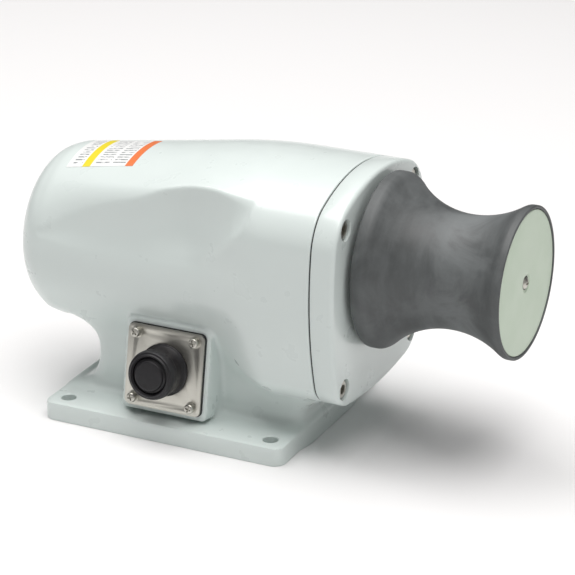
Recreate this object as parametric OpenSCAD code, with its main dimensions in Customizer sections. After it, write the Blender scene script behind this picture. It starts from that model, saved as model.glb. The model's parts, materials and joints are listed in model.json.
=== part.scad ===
// Electric anchor windlass with a horizontal warping drum.
// Origin: centre of the mounting bolt pattern, on the underside of the base.
// +X runs along the drum shaft towards the drum's outer end, +Z is up. Millimetres.

/* [Base] */
// Length of the base plate along the drum shaft
base_length = 176; // [170:1:215]
// Width of the base plate
base_width = 150; // [146:1:185]
// Thickness of the base plate
base_thick = 12.5; // [11:0.5:16]
// Corner radius of the base plate
base_corner = 8; // [3:0.5:12]
// Mounting bolt spacing along the drum shaft
bolt_spacing_x = 150; // [146:1:160]
// Mounting bolt spacing across the drum shaft
bolt_spacing_y = 125; // [115:1:130]
// Diameter of each mounting hole
mount_hole_d = 10; // [6:0.5:12]

/* [Gear case] */
// Height of the drum shaft above the underside of the base
shaft_z = 124.4; // [124:0.2:128]
// Half of the greatest width of the gear case
case_half_width = 73; // [73:0.5:76]
// Height of the top of the gear case
case_top_z = 185; // [184:0.5:190]
// Height of the underside of the gear case, at its middle
case_bottom_z = 35.5; // [33:0.5:36]
// Wall thickness of the housing castings
wall = 5; // [4:0.5:5]
// Position of the joint face between housing and front cover
seam_x = 107; // [107:1:112]
// Thickness of the front cover
cover_thick = 16; // [16:0.5:20]
// Radius round the front edge of the cover
cover_round = 3; // [1:0.5:4]

/* [Motor barrel] */
// Outer radius of the motor barrel
barrel_r = 58.9; // [58:0.5:64]
// Position of the rear end of the barrel
barrel_end_x = -119; // [-150:1:-119]
// Radius of the rounded rear edge
barrel_round = 24; // [10:1:30]
// Outer diameter of the motor can
motor_d = 92; // [84:1:96]
// Length of the motor can
motor_length = 100; // [90:1:101]

/* [Drum] */
// Running gap between the front cover and the drum
drum_gap = 4; // [2:0.5:8]
// Length of the drum
drum_length = 96.3; // [94:0.1:120]
// Radius of the drum's inner flange
flange_r = 57.5; // [52:0.5:66]
// Width of the straight band on the inner flange
flange_band = 8; // [5:0.5:12]
// Radius of the drum's waist
waist_r = 37.2; // [34:0.1:42]
// Radius of the drum's outer end
rim_r = 49.4; // [46:0.1:60]
// Width of the rounded rim at the outer end
rim_band = 5; // [3:0.5:8]
// Radius of the end disc
cap_r = 46.8; // [40:0.1:47]

/* [Gears] */
// Module of the output gear pair
output_module = 2; // [2]
// Teeth on the output gear
output_teeth = 48; // [48]
// Teeth on the layshaft pinion
pinion_teeth = 12; // [12]
// Module of the motor gear pair
input_module = 1.5; // [1.5]
// Teeth on the layshaft gear
layshaft_teeth = 48; // [48]
// Teeth on the motor pinion
motor_teeth = 11; // [11]
// Width of the output gear
output_gear_width = 18; // [14:1:18]
// Width of the layshaft gear
layshaft_gear_width = 12; // [8:1:14]

/* [Switch] */
// Distance of the switch from the bolt pattern's centre along the drum shaft
switch_x = -3; // [-12:0.5:6]
// Height of the middle of the switch plate
switch_z = 45.3; // [45:0.1:50]
// Distance of the switch mounting face from the drum shaft's plane
switch_y = 58; // [57:0.5:60]
// Backward lean of the switch plate in degrees
switch_tilt = 10; // [4:1:14]
// Width of the switch plate
plate_width = 55.7; // [50:0.1:60]
// Height of the switch plate
plate_height = 55; // [50:0.1:57]
// Thickness of the switch plate
plate_thick = 1.5; // [1:0.1:3]
// Travel of the push-button
button_travel = 4; // [2:0.5:5]

/* [Hidden] */

$fn = 64;

// Clearances
slip = 0.05;
air = 0.3;
gasket_t = 0.8;

// Gear train heights: the layshaft lies below the drum shaft and the motor above the layshaft
output_pitch_r = output_module * output_teeth / 2;
output_pinion_pitch_r = output_module * pinion_teeth / 2;
layshaft_pitch_r = input_module * layshaft_teeth / 2;
motor_pitch_r = input_module * motor_teeth / 2;
layshaft_z = shaft_z - output_pitch_r - output_pinion_pitch_r;
motor_z = layshaft_z + layshaft_pitch_r + motor_pitch_r;

// Places along the shaft
cover_front_x = seam_x + cover_thick;
drum_x = cover_front_x + drum_gap;
drum_end_x = drum_x + drum_length;
center_plate_t = 12;
center_plate_x = seam_x - 43;
motor_plate_t = 10;
motor_plate_x = seam_x - 77;
gear_x = center_plate_x + center_plate_t + 4;
bell_t = 12;
can_x = motor_plate_x - bell_t;
can_rear_x = can_x - motor_length;
can_t = 3;
// The body widens from the barrel to the gear case between these places
flare_start_x = 16;
case_start_x = seam_x - 41;
// The roof rises from the barrel to the top of the gear case between these places
roof_start_x = barrel_end_x + 17;
roof_end_x = 16;
roof_half = 53;

// Bearings: [start, width, outer diameter, inner diameter, height, balls]
OUTPUT_BEARINGS = [[center_plate_x, 12, 42, 20, shaft_z, 9],
    [seam_x - 3, 12, 47, 25, shaft_z, 10]];
LAYSHAFT_BEARINGS = [[motor_plate_x + 2, 8, 28, 12, layshaft_z, 8],
    [seam_x, 8, 28, 12, layshaft_z, 8]];
MOTOR_BEARINGS = [[can_x + 1, 10, 32, 12, motor_z, 7], [can_rear_x - 9, 8, 28, 12, motor_z, 8]];

// Cover screws: M8 cap screws in counterbores
cover_bolt_y = 54.65;
cover_bolt_high = 162.35;
cover_bolt_low = 52.27;
COVER_BOLTS = [[-cover_bolt_y, cover_bolt_high], [cover_bolt_y, cover_bolt_high],
    [-cover_bolt_y, cover_bolt_low], [cover_bolt_y, cover_bolt_low]];
cover_bore_d = 14;
cover_head_d = 13;
cover_head_h = 8;
cover_thread_d = 8;
cover_thread_length = 18;
cover_seat_x = cover_front_x - cover_head_h - 1.5;
dowel_d = 3;
dowel_length = 14;

// Screws of the two inner plates
CENTER_PLATE_BOLTS = [[-40, 160], [40, 160], [-49, 72], [49, 72]];
MOTOR_PLATE_BOLTS = [[-32, 160], [32, 160], [-28, 52], [28, 52]];
plate_bolt_d = 6;
plate_head_d = 10;
plate_head_h = 6;
face_screw_r = 38;
face_screw_d = 5;

// Output shaft steps
rear_journal_d = 20;
collar_d = 32;
gear_seat_d = 26;
front_journal_d = 25;
drum_seat_d = 22;
thread_d = 16;
hub_end_x = drum_end_x - 18;
washer_t = 2.5;
nut_h = 10;
nut_flats = 24;
cap_t = 2.4;
cap_screw_d = 5;

// Bottom opening in the base
pocket_x = -48;
pocket_length = 120;
pocket_half = 34;
pedestal_half = 40;
bottom_ledge = 9;
bottom_recess = 6.5;
bottom_cover_t = 3;
bottom_gasket_t = 1;
bottom_screw_d = 4;
BOTTOM_SCREWS = [for (x = [pocket_x - 4.5, pocket_x + pocket_length / 2,
    pocket_x + pocket_length + 4.5], y = [-1, 1]) [x, y * (pocket_half + 4.5)]];
grommet_x = -24;
grommet_bore_d = 10;
grommet_hole_d = 18;

// Switch stack, measured along the plate's normal
switch_gasket_t = 1.5;
plate_top = switch_gasket_t + plate_thick;
switch_screw_x = 21.35;
switch_screw_y = 22.1;
switch_screw_d = 4;
switch_barrel_d = 24;
collar_base_d = 35;
collar_front_d = 33;
collar_waist_d = 30.5;
collar_top = 24.5;
button_d = 24;
button_top = 25;
switch_depth = 30;
button_seat = plate_top + 1.5 + button_travel;
stem_d = 5;
stem_foot_t = 2;
stem_stop = -5;
spring_seat = -18;

// ---------- helpers ----------

// Solid round bar along X
module rod(x0, x1, d, y = 0, z = 0) {
    translate([x0, y, z]) rotate([0, 90, 0]) cylinder(h = x1 - x0, d = d);
}

// Round tube along X
module pipe(x0, x1, d_out, d_in, y = 0, z = 0) {
    difference() {
        rod(x0, x1, d_out, y, z);
        rod(x0 - 1, x1 + 1, d_in, y, z);
    }
}

// A profile of [radius, distance] turned about an axis along X
module turned(x = 0, z = 0) {
    translate([x, 0, z]) rotate([0, 90, 0]) rotate_extrude() children();
}

// A [y, z] outline drawn across X and stretched from x0 to x1
module along_x(x0, x1) {
    translate([x0, 0, 0]) rotate([90, 0, 90]) linear_extrude(x1 - x0) children();
}

// Rectangle with round corners, centred
module round_rect(length, width, r) {
    square([length - 2 * r, width], center = true);
    square([length, width - 2 * r], center = true);
    for (x = [-1, 1], y = [-1, 1])
        translate([x * (length / 2 - r), y * (width / 2 - r)]) circle(r = r);
}

// Everything inside is placed on the leaning switch face, with its normal along +Z
module on_switch_face() {
    translate([switch_x, -switch_y, switch_z]) rotate([90 - switch_tilt, 0, 0]) children();
}

// Parallel key standing in two half-depth slots
module key(x0, length, width, height, shaft_d, z) {
    translate([x0, -width / 2, z + shaft_d / 2 - height / 2]) cube([length, width, height]);
}

// Wire coil about +Z, swept as one closed skin
module coil(mean_r, wire_r, height, turns) {
    sides = 6;
    steps = 14 * turns;
    points = [for (i = [0:steps], k = [0:sides - 1])
        let (a = 360 * turns * i / steps, b = 360 * k / sides, r = mean_r + wire_r * cos(b))
        [r * cos(a), r * sin(a), wire_r + (height - 2 * wire_r) * i / steps + wire_r * sin(b)]];
    skin = [for (i = [0:steps - 1], k = [0:sides - 1])
        let (n = (k + 1) % sides)
        [i * sides + k, (i + 1) * sides + k, (i + 1) * sides + n, i * sides + n]];
    ends = [[for (k = [0:sides - 1]) k], [for (k = [sides - 1:-1:0]) steps * sides + k]];
    polyhedron(points, concat(skin, ends), convexity = 6);
}

// ---------- gear case outline ----------

// Four large arcs, top, left, bottom and right: [centre y, centre z, radius]
top_arc_r = 130;
side_arc_r = 220;
bottom_arc_r = 300;
side_arc_z = 117;
top_corner_r = 18;
bottom_corner_r = 12;
ARCS = [[0, case_top_z - top_arc_r, top_arc_r],
    [side_arc_r - case_half_width, side_arc_z, side_arc_r],
    [0, case_bottom_z + bottom_arc_r, bottom_arc_r],
    [case_half_width - side_arc_r, side_arc_z, side_arc_r]];
CORNER_R = [top_corner_r, bottom_corner_r, bottom_corner_r, top_corner_r];
// Dowels stand in the middle of the side walls
DOWELS = [for (side = [-1, 1]) [side * (case_half_width - wall / 2), side_arc_z]];

// Where two circles meet, on the left of the line from the first centre to the second
function meet(a, ra, b, rb) =
    let (d = norm(b - a), along = (ra * ra - rb * rb + d * d) / (2 * d),
        up = sqrt(ra * ra - along * along), u = (b - a) / d)
    a + along * u + up * [-u[1], u[0]];
function arc_centre(i) = [ARCS[i % 4][0], ARCS[i % 4][1]];
function arc_r(i) = ARCS[i % 4][2];
function corner(i) =
    let (j = (i + 1) % 4, p = arc_centre(i), q = arc_centre(j), r = CORNER_R[i],
        one = meet(p, arc_r(i) - r, q, arc_r(j) - r),
        two = meet(q, arc_r(j) - r, p, arc_r(i) - r),
        side = i < 2 ? -1 : 1)
    one[0] * side > two[0] * side ? one : two;
function heading(from, to) = atan2(to[1] - from[1], to[0] - from[0]);
function wrap(a) = a < 0 ? a + 360 : a;

// Points round an arc of the outline, then round the corner after it, anticlockwise
function arc_points(c, r, a0, a1, n) =
    let (sweep = wrap(a1 - a0))
    [for (k = [0:n - 1]) c + r * [cos(a0 + sweep * k / n), sin(a0 + sweep * k / n)]];
function outline(inset) = [for (i = [0:3])
    let (before = corner((i + 3) % 4), after = corner(i), c = arc_centre(i), n = arc_centre(i + 1))
    each concat(arc_points(c, arc_r(i) - inset, heading(c, before), heading(c, after), 7),
        arc_points(after, CORNER_R[i] - inset, heading(c, after), heading(n, after), 5))];
module case_outline(inset = 0) {
    polygon(outline(inset));
}

// ---------- gears ----------

pressure_angle = 25;
backlash = 0.12;
tip_clearance = 0.25;

// Angle swept by the involute of base radius rb at radius r, in degrees
function involute(rb, r) =
    let (t = sqrt(max(0, pow(r / rb, 2) - 1)))
    t * 180 / PI - atan(t);
// Half the angle of a tooth at radius r
function half_tooth(m, teeth, r) =
    let (pitch = m * teeth / 2, rb = pitch * cos(pressure_angle))
    90 / teeth - backlash / 2 / pitch * 180 / PI + involute(rb, pitch) - involute(rb, max(r, rb));
function gear_points(m, teeth) =
    let (pitch = m * teeth / 2, root = pitch - (1 + tip_clearance) * m, tip = pitch + m,
        base = max(root + 0.1, pitch * cos(pressure_angle)),
        radii = [root, base, (base + pitch) / 2, pitch, (pitch + tip) / 2, tip])
    [for (i = [0:teeth - 1])
        let (mid = 360 * i / teeth)
        each concat(
            [for (r = radii) let (a = mid - half_tooth(m, teeth, r)) r * [cos(a), sin(a)]],
            [for (k = [5:-1:0]) let (a = mid + half_tooth(m, teeth, radii[k]))
                radii[k] * [cos(a), sin(a)]])];
// Spur gear along X with its first tooth pointing down, turned by a phase in degrees
module spur_gear(m, teeth, x, width, z, phase) {
    translate([x, 0, z]) rotate([0, 90, 0]) rotate([0, 0, phase])
        linear_extrude(width) polygon(gear_points(m, teeth));
}

// ---------- bearings ----------

function ball_r(b) = (b[2] - b[3]) * 0.145;
function ball_circle(b) = (b[2] + b[3]) / 4;
module race(b, outer) {
    race_t = (b[2] - b[3]) * 0.15;
    groove_r = ball_r(b) + slip;
    turned(b[0], b[4]) difference() {
        translate([outer ? b[2] / 2 - race_t : b[3] / 2, 0]) square([race_t, b[1]]);
        translate([ball_circle(b), b[1] / 2]) circle(r = groove_r);
    }
}
module balls(b) {
    for (i = [0:b[5] - 1])
        translate([b[0] + b[1] / 2, 0, b[4]]) rotate([360 * i / b[5], 0, 0])
            translate([0, 0, ball_circle(b)]) sphere(r = ball_r(b));
}

// ---------- castings ----------

module base_plate() {
    linear_extrude(base_thick) round_rect(base_length, base_width, base_corner);
}

// Pedestal seen from the side: hollowed behind under the barrel and in front under the case
pedestal_front_x = 84;
pedestal_top_z = 70;
pedestal_rear_x = -base_length / 2 + 4;
module pedestal() {
    rear_sweep_r = 34;
    rear_sweep_x = -base_length / 2 - 13;
    rear_sweep_z = base_thick + 26;
    front_sweep_r = seam_x - gasket_t - pedestal_front_x;
    translate([0, pedestal_half, 0]) rotate([90, 0, 0]) linear_extrude(2 * pedestal_half)
        difference() {
            polygon([[pedestal_rear_x, base_thick - 1], [pedestal_front_x, base_thick - 1],
                [pedestal_front_x + front_sweep_r, base_thick + front_sweep_r],
                [pedestal_front_x, pedestal_top_z], [pedestal_rear_x, pedestal_top_z]]);
            translate([rear_sweep_x, rear_sweep_z]) circle(r = rear_sweep_r);
            translate([pedestal_front_x + front_sweep_r, base_thick]) circle(r = front_sweep_r);
        }
}

module barrel_shape() {
    body = barrel_r - barrel_round;
    turned(0, motor_z) {
        translate([0, barrel_end_x]) square([body, flare_start_x - barrel_end_x]);
        translate([0, barrel_end_x + barrel_round])
            square([barrel_r, flare_start_x - barrel_end_x - barrel_round]);
        intersection() {
            translate([body, barrel_end_x + barrel_round]) circle(r = barrel_round);
            translate([0, barrel_end_x]) square([barrel_r, barrel_round + 1]);
        }
    }
}

// Sides and underside widen from the round barrel to the gear case
module flare_shape() {
    hull() {
        rod(flare_start_x - 1, flare_start_x, 2 * barrel_r, 0, motor_z);
        along_x(case_start_x, case_start_x + 1) case_outline();
    }
}

// Narrow roof over the barrel, which leaves a hollow along each side
module roof_outline(grow = 0) {
    intersection() {
        case_outline(-grow);
        translate([-roof_half, motor_z]) square([2 * roof_half, case_top_z]);
    }
}
module roof_rise(grow = 0) {
    hull() {
        rod(roof_start_x - 1, roof_start_x, 2 * (barrel_r + grow), 0, motor_z);
        along_x(roof_end_x - 1, roof_end_x) roof_outline(grow);
    }
}

module switch_box() {
    on_switch_face() translate([0, 0, -switch_depth]) linear_extrude(switch_depth)
        round_rect(plate_width + 2, plate_height + 2, 4);
}

boss_r = 9;
// Inside of the gear case between the seam and the centre plate's seat
module front_cavity() {
    along_x(center_plate_x, seam_x + 1) difference() {
        case_outline(wall);
        for (p = COVER_BOLTS) translate(p) circle(r = boss_r);
    }
}

// Outline of the space between the two plates, which stays inside the hollows along the sides
motor_bore_r = barrel_r - wall - 1;
rear_half = roof_half - 2 * wall;
gear_well_r = layshaft_pitch_r + input_module + 2.5;
module rear_outline(gap = 0) {
    lower_half = pocket_half + 1 - gap;
    intersection() {
        case_outline(2 * wall + gap);
        union() {
            translate([0, motor_z]) circle(r = motor_bore_r - gap);
            translate([0, layshaft_z]) circle(r = gear_well_r - gap);
            translate([-rear_half + gap, motor_z]) square([2 * (rear_half - gap), case_top_z]);
            translate([-lower_half, 0]) square([2 * lower_half, motor_z]);
        }
    }
}

// Inside of the gear case between the two plates
module rear_cavity() {
    along_x(motor_plate_x, center_plate_x + 1) difference() {
        rear_outline();
        for (p = CENTER_PLATE_BOLTS) translate(p) circle(r = boss_r);
    }
    along_x(motor_plate_x, motor_plate_x + motor_plate_t + air) rear_outline();
}

module housing() {
    color("whitesmoke") difference() {
        union() {
            base_plate();
            pedestal();
            barrel_shape();
            flare_shape();
            roof_rise();
            along_x(roof_end_x - 1, case_start_x + 1) roof_outline();
            along_x(case_start_x, seam_x - gasket_t) case_outline();
            switch_box();
        }
        // flat round the switch plate
        on_switch_face() linear_extrude(40) round_rect(plate_width + 6, plate_height + 6, 5);
        front_cavity();
        rear_cavity();
        rod(can_rear_x - 16, motor_plate_x + 1, 2 * motor_bore_r, 0, motor_z);
        // pedestal pocket, and the well that holds the layshaft gear
        translate([pocket_x, -pocket_half, -1])
            cube([pocket_length, 2 * pocket_half, 46]);
        translate([motor_plate_x + motor_plate_t, -pocket_half, 20])
            cube([center_plate_x - motor_plate_x - motor_plate_t, 2 * pocket_half, 40]);
        translate([pocket_x - bottom_ledge, -pocket_half - bottom_ledge, -1])
            cube([pocket_length + 2 * bottom_ledge, 2 * (pocket_half + bottom_ledge),
                bottom_recess + 1]);
        // wire passage between the pocket and the motor
        translate([pocket_x + 12, 0, 30]) cylinder(h = 40, d = 14);
        // switch well
        on_switch_face() translate([0, 0, -switch_depth - 2])
            cylinder(h = switch_depth + 3, d = collar_base_d - 3);
        for (x = [-1, 1], y = [-1, 1]) on_switch_face()
            translate([x * switch_screw_x, y * switch_screw_y, -9])
                cylinder(h = 10, d = switch_screw_d + 2 * slip);
        // mounting holes
        for (x = [-1, 1], y = [-1, 1])
            translate([x * bolt_spacing_x / 2, y * bolt_spacing_y / 2, -1])
                cylinder(h = base_thick + 2, d = mount_hole_d);
        for (p = COVER_BOLTS)
            rod(seam_x - cover_thread_length, seam_x + 1, cover_thread_d + 2 * slip, p[0], p[1]);
        for (p = DOWELS)
            rod(seam_x - dowel_length / 2 - 1, seam_x + 1, dowel_d + 2 * slip, p[0], p[1]);
        for (p = CENTER_PLATE_BOLTS)
            rod(center_plate_x - 11, center_plate_x + 1, plate_bolt_d + 2 * slip, p[0], p[1]);
        for (p = MOTOR_PLATE_BOLTS)
            rod(motor_plate_x - 12, motor_plate_x + 1, plate_bolt_d + 2 * slip, p[0], p[1]);
        for (p = BOTTOM_SCREWS) translate([p[0], p[1], 0])
            cylinder(h = base_thick - 1.5, d = bottom_screw_d + 2 * slip);
    }
}

module front_cover() {
    cover_seal_x = OUTPUT_BEARINGS[1][0] + OUTPUT_BEARINGS[1][1];
    color("whitesmoke") difference() {
        union() {
            along_x(seam_x, cover_front_x - cover_round) case_outline();
            hull() {
                along_x(cover_front_x - cover_round - 0.1, cover_front_x - cover_round)
                    case_outline();
                along_x(cover_front_x - 0.1, cover_front_x) case_outline(cover_round);
            }
            rod(seam_x - 4, seam_x + 1, 60, 0, shaft_z);
            rod(seam_x - 4, seam_x + 1, 38, 0, layshaft_z);
        }
        rod(seam_x - 5, cover_seal_x, OUTPUT_BEARINGS[1][2], 0, shaft_z);
        rod(seam_x - 5, cover_front_x + 1, 42, 0, shaft_z);
        rod(seam_x - 5, LAYSHAFT_BEARINGS[1][0] + LAYSHAFT_BEARINGS[1][1],
            LAYSHAFT_BEARINGS[1][2], 0, layshaft_z);
        for (p = COVER_BOLTS) {
            rod(seam_x - 1, cover_front_x + 1, cover_thread_d + 2 * slip, p[0], p[1]);
            rod(cover_seat_x, cover_front_x + 1, cover_bore_d, p[0], p[1]);
        }
        for (p = DOWELS)
            rod(seam_x - 1, seam_x + dowel_length / 2, dowel_d + 2 * slip, p[0], p[1]);
    }
}

module cover_gasket() {
    color("black") along_x(seam_x - gasket_t, seam_x) difference() {
        case_outline(0.6);
        difference() {
            case_outline(wall);
            for (p = COVER_BOLTS) translate(p) circle(r = boss_r);
        }
        for (p = COVER_BOLTS) translate(p) circle(d = cover_thread_d + 1);
        for (p = DOWELS) translate(p) circle(d = dowel_d + 1);
    }
}

// Socket-head cap screw pointing along -X, with its head seated at x
module cap_screw(x, y, z, d, head_d, head_h, length, socket) {
    difference() {
        union() {
            rod(x, x + head_h, head_d, y, z);
            rod(x - length, x + 0.1, d, y, z);
        }
        translate([x + head_h / 2, y, z]) rotate([0, 90, 0])
            cylinder(h = head_h, d = socket, $fn = 6);
    }
}

module cover_bolts() {
    color("silver") for (p = COVER_BOLTS)
        cap_screw(cover_seat_x, p[0], p[1], cover_thread_d, cover_head_d, cover_head_h,
            cover_seat_x - seam_x + cover_thread_length - 2, 6.9);
}

module cover_dowels() {
    color("silver") for (p = DOWELS)
        rod(seam_x - dowel_length / 2, seam_x + dowel_length / 2 - 1, dowel_d, p[0], p[1]);
}

// Plate between the two gear pairs, carrying the rear bearing of the output shaft
module center_plate() {
    color("lightgray") difference() {
        along_x(center_plate_x, center_plate_x + center_plate_t) difference() {
            case_outline(wall + slip);
            for (p = COVER_BOLTS) translate(p) circle(r = boss_r + slip);
        }
        rod(center_plate_x - 1, seam_x, OUTPUT_BEARINGS[0][2], 0, shaft_z);
        rod(center_plate_x - 1, seam_x, 2 * output_pinion_pitch_r + 8, 0, layshaft_z);
        for (p = CENTER_PLATE_BOLTS) {
            rod(center_plate_x - 1, seam_x, plate_bolt_d + 2 * slip, p[0], p[1]);
            rod(center_plate_x + center_plate_t - plate_head_h, seam_x, plate_head_d + 1,
                p[0], p[1]);
        }
    }
}

module center_plate_bolts() {
    color("dimgray") for (p = CENTER_PLATE_BOLTS)
        cap_screw(center_plate_x + center_plate_t - plate_head_h, p[0], p[1], plate_bolt_d,
            plate_head_d, plate_head_h - 0.5, center_plate_t - plate_head_h + 10, 5);
}

// Plate that carries the motor and the rear end of the layshaft
module motor_plate() {
    color("lightgray") difference() {
        along_x(motor_plate_x, motor_plate_x + motor_plate_t) rear_outline(slip);
        rod(motor_plate_x - 1, seam_x, 2 * motor_pitch_r + 10, 0, motor_z);
        rod(LAYSHAFT_BEARINGS[0][0], seam_x, LAYSHAFT_BEARINGS[0][2], 0, layshaft_z);
        for (p = MOTOR_PLATE_BOLTS) {
            rod(motor_plate_x - 1, seam_x, plate_bolt_d + 2 * slip, p[0], p[1]);
            rod(motor_plate_x + motor_plate_t - plate_head_h, seam_x, plate_head_d + 1,
                p[0], p[1]);
        }
        for (a = [45:90:315])
            rod(motor_plate_x - 1, seam_x, face_screw_d + 2 * slip,
                face_screw_r * cos(a), motor_z + face_screw_r * sin(a));
    }
}

module motor_plate_bolts() {
    color("dimgray") for (p = MOTOR_PLATE_BOLTS)
        cap_screw(motor_plate_x + motor_plate_t - plate_head_h, p[0], p[1], plate_bolt_d,
            plate_head_d, plate_head_h - 0.5, motor_plate_t - plate_head_h + 11, 5);
}

module output_bearing_outer_races() {
    color("silver") for (b = OUTPUT_BEARINGS) race(b, true);
}
module layshaft_bearing_outer_races() {
    color("silver") for (b = LAYSHAFT_BEARINGS) race(b, true);
}
module motor_bearing_outer_races() {
    color("silver") for (b = MOTOR_BEARINGS) race(b, true);
}
module output_inner_races() {
    color("silver") for (b = OUTPUT_BEARINGS) race(b, false);
}
module layshaft_inner_races() {
    color("silver") for (b = LAYSHAFT_BEARINGS) race(b, false);
}
module motor_inner_races() {
    color("silver") for (b = MOTOR_BEARINGS) race(b, false);
}
module bearing_balls() {
    color("white") for (b = concat(OUTPUT_BEARINGS, LAYSHAFT_BEARINGS, MOTOR_BEARINGS)) balls(b);
}

sleeve_d = 30;
seal_d = 42;
// Radial shaft seal with a thin lip round the sleeve
module oil_seal() {
    seal_x = OUTPUT_BEARINGS[1][0] + OUTPUT_BEARINGS[1][1];
    width = cover_front_x - seal_x - 0.5;
    color("black") turned(seal_x, shaft_z) {
        translate([seal_d / 2 - 2.5, 0]) square([2.5, width]);
        translate([sleeve_d / 2 + 1.2, width - 1.5])
            square([(seal_d - sleeve_d) / 2 - 1.2, 1.5]);
        translate([sleeve_d / 2 + slip, width - 5]) square([1.3, 5]);
    }
}

// ---------- drum and output shaft ----------

flange_end_x = flange_band;
waist_x = 53;
module drum_profile() {
    inner_arc_r = (pow(waist_x - flange_end_x, 2) + pow(flange_r - waist_r, 2))
        / (2 * (flange_r - waist_r));
    rim_x = drum_length - rim_band;
    outer_arc_r = (pow(rim_x - waist_x, 2) + pow(rim_r - waist_r, 2)) / (2 * (rim_r - waist_r));
    edge = 1.5;
    difference() {
        polygon([[0, 0], [flange_r - edge, 0], [flange_r, edge], [flange_r, waist_x],
            [rim_r, waist_x], [rim_r, drum_length - edge], [rim_r - edge, drum_length],
            [0, drum_length]]);
        intersection() {
            translate([waist_r + inner_arc_r, waist_x]) circle(r = inner_arc_r, $fn = 128);
            translate([waist_r - 1, flange_end_x]) square([flange_r, waist_x - flange_end_x]);
        }
        intersection() {
            translate([waist_r + outer_arc_r, waist_x]) circle(r = outer_arc_r, $fn = 128);
            translate([waist_r - 1, waist_x]) square([rim_r, rim_x - waist_x]);
        }
    }
}

module drum() {
    back_skin = 8;
    color("dimgray") difference() {
        turned(drum_x, shaft_z) difference() {
            drum_profile();
            // back pocket round the hub
            polygon([[sleeve_d / 2 + 7, -1], [flange_r - back_skin, -1],
                [flange_r - back_skin, 6], [waist_r - back_skin + 3, waist_x - 20],
                [sleeve_d / 2 + 7, waist_x - 20]]);
            // recess for the end disc, and the pocket behind it for the nut
            translate([0, drum_length - 3]) square([cap_r + air, 4]);
            translate([0, hub_end_x - drum_x]) square([waist_r - back_skin, 40]);
        }
        rod(drum_x - 1, drum_end_x, drum_seat_d, 0, shaft_z);
        key(drum_x + 20, 40, 6 + 2 * slip, 6, drum_seat_d, shaft_z);
    }
}

module drum_cap() {
    color("honeydew") difference() {
        rod(drum_end_x - 3, drum_end_x - 3 + cap_t, 2 * cap_r, 0, shaft_z);
        rod(drum_end_x - 4, drum_end_x, cap_screw_d + 2 * slip, 0, shaft_z);
    }
}

shaft_tip_x = drum_end_x - 3;
module drum_cap_screw() {
    head_x = drum_end_x - 3 + cap_t;
    color("silver") difference() {
        union() {
            rod(shaft_tip_x - 12, head_x + 0.1, cap_screw_d, 0, shaft_z);
            translate([head_x, 0, shaft_z]) rotate([0, 90, 0]) cylinder(h = 1.8, d1 = 9, d2 = 7);
        }
        translate([head_x + 0.8, -0.5, shaft_z - 5]) cube([2, 1, 10]);
    }
}

module drum_key() {
    color("silver") key(drum_x + 20, 40, 6, 6, drum_seat_d, shaft_z);
}

module drum_washer() {
    color("silver") pipe(hub_end_x, hub_end_x + washer_t, 34, thread_d + 2 * slip, 0, shaft_z);
}

module drum_nut() {
    nut_x = hub_end_x + washer_t;
    color("silver") difference() {
        translate([nut_x, 0, shaft_z]) rotate([0, 90, 0])
            cylinder(h = nut_h, d = nut_flats / cos(30), $fn = 6);
        rod(nut_x - 1, nut_x + nut_h + 1, thread_d + 2 * slip, 0, shaft_z);
    }
}

module output_shaft() {
    bearing_end = OUTPUT_BEARINGS[1][0] + OUTPUT_BEARINGS[1][1];
    color("gray") difference() {
        union() {
            rod(center_plate_x - 1, center_plate_x + center_plate_t, rear_journal_d, 0, shaft_z);
            rod(center_plate_x + center_plate_t, gear_x, collar_d, 0, shaft_z);
            rod(gear_x, gear_x + output_gear_width, gear_seat_d, 0, shaft_z);
            rod(gear_x + output_gear_width, bearing_end, front_journal_d, 0, shaft_z);
            rod(bearing_end, hub_end_x, drum_seat_d, 0, shaft_z);
            rod(hub_end_x, shaft_tip_x, thread_d, 0, shaft_z);
        }
        key(drum_x + 20, 40, 6 + 2 * slip, 6, drum_seat_d, shaft_z);
        key(gear_x, output_gear_width, 8 + 2 * slip, 7, gear_seat_d, shaft_z);
        rod(shaft_tip_x - 15, shaft_tip_x + 1, cap_screw_d + 2 * slip, 0, shaft_z);
    }
}

module seal_sleeve() {
    bearing_end = OUTPUT_BEARINGS[1][0] + OUTPUT_BEARINGS[1][1];
    color("silver") pipe(bearing_end, drum_x, sleeve_d, drum_seat_d, 0, shaft_z);
}

module gear_spacer() {
    color("silver") pipe(gear_x + output_gear_width, OUTPUT_BEARINGS[1][0], 32,
        front_journal_d, 0, shaft_z);
}

module output_gear() {
    web = 5;
    color("slategray") difference() {
        spur_gear(output_module, output_teeth, gear_x, output_gear_width, shaft_z, 0);
        rod(gear_x - 1, seam_x, gear_seat_d, 0, shaft_z);
        key(gear_x - 1, output_gear_width + 2, 8 + 2 * slip, 7, gear_seat_d, shaft_z);
        for (x = [gear_x - web, gear_x + output_gear_width - web])
            pipe(x, x + 2 * web, 2 * output_pitch_r - 16, 44, 0, shaft_z);
        for (a = [0:60:300])
            rod(gear_x - 1, seam_x, 11, 30 * cos(a), shaft_z + 30 * sin(a));
    }
}

module gear_key() {
    color("silver") key(gear_x, output_gear_width, 8, 7, gear_seat_d, shaft_z);
}

// ---------- layshaft ----------

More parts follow.
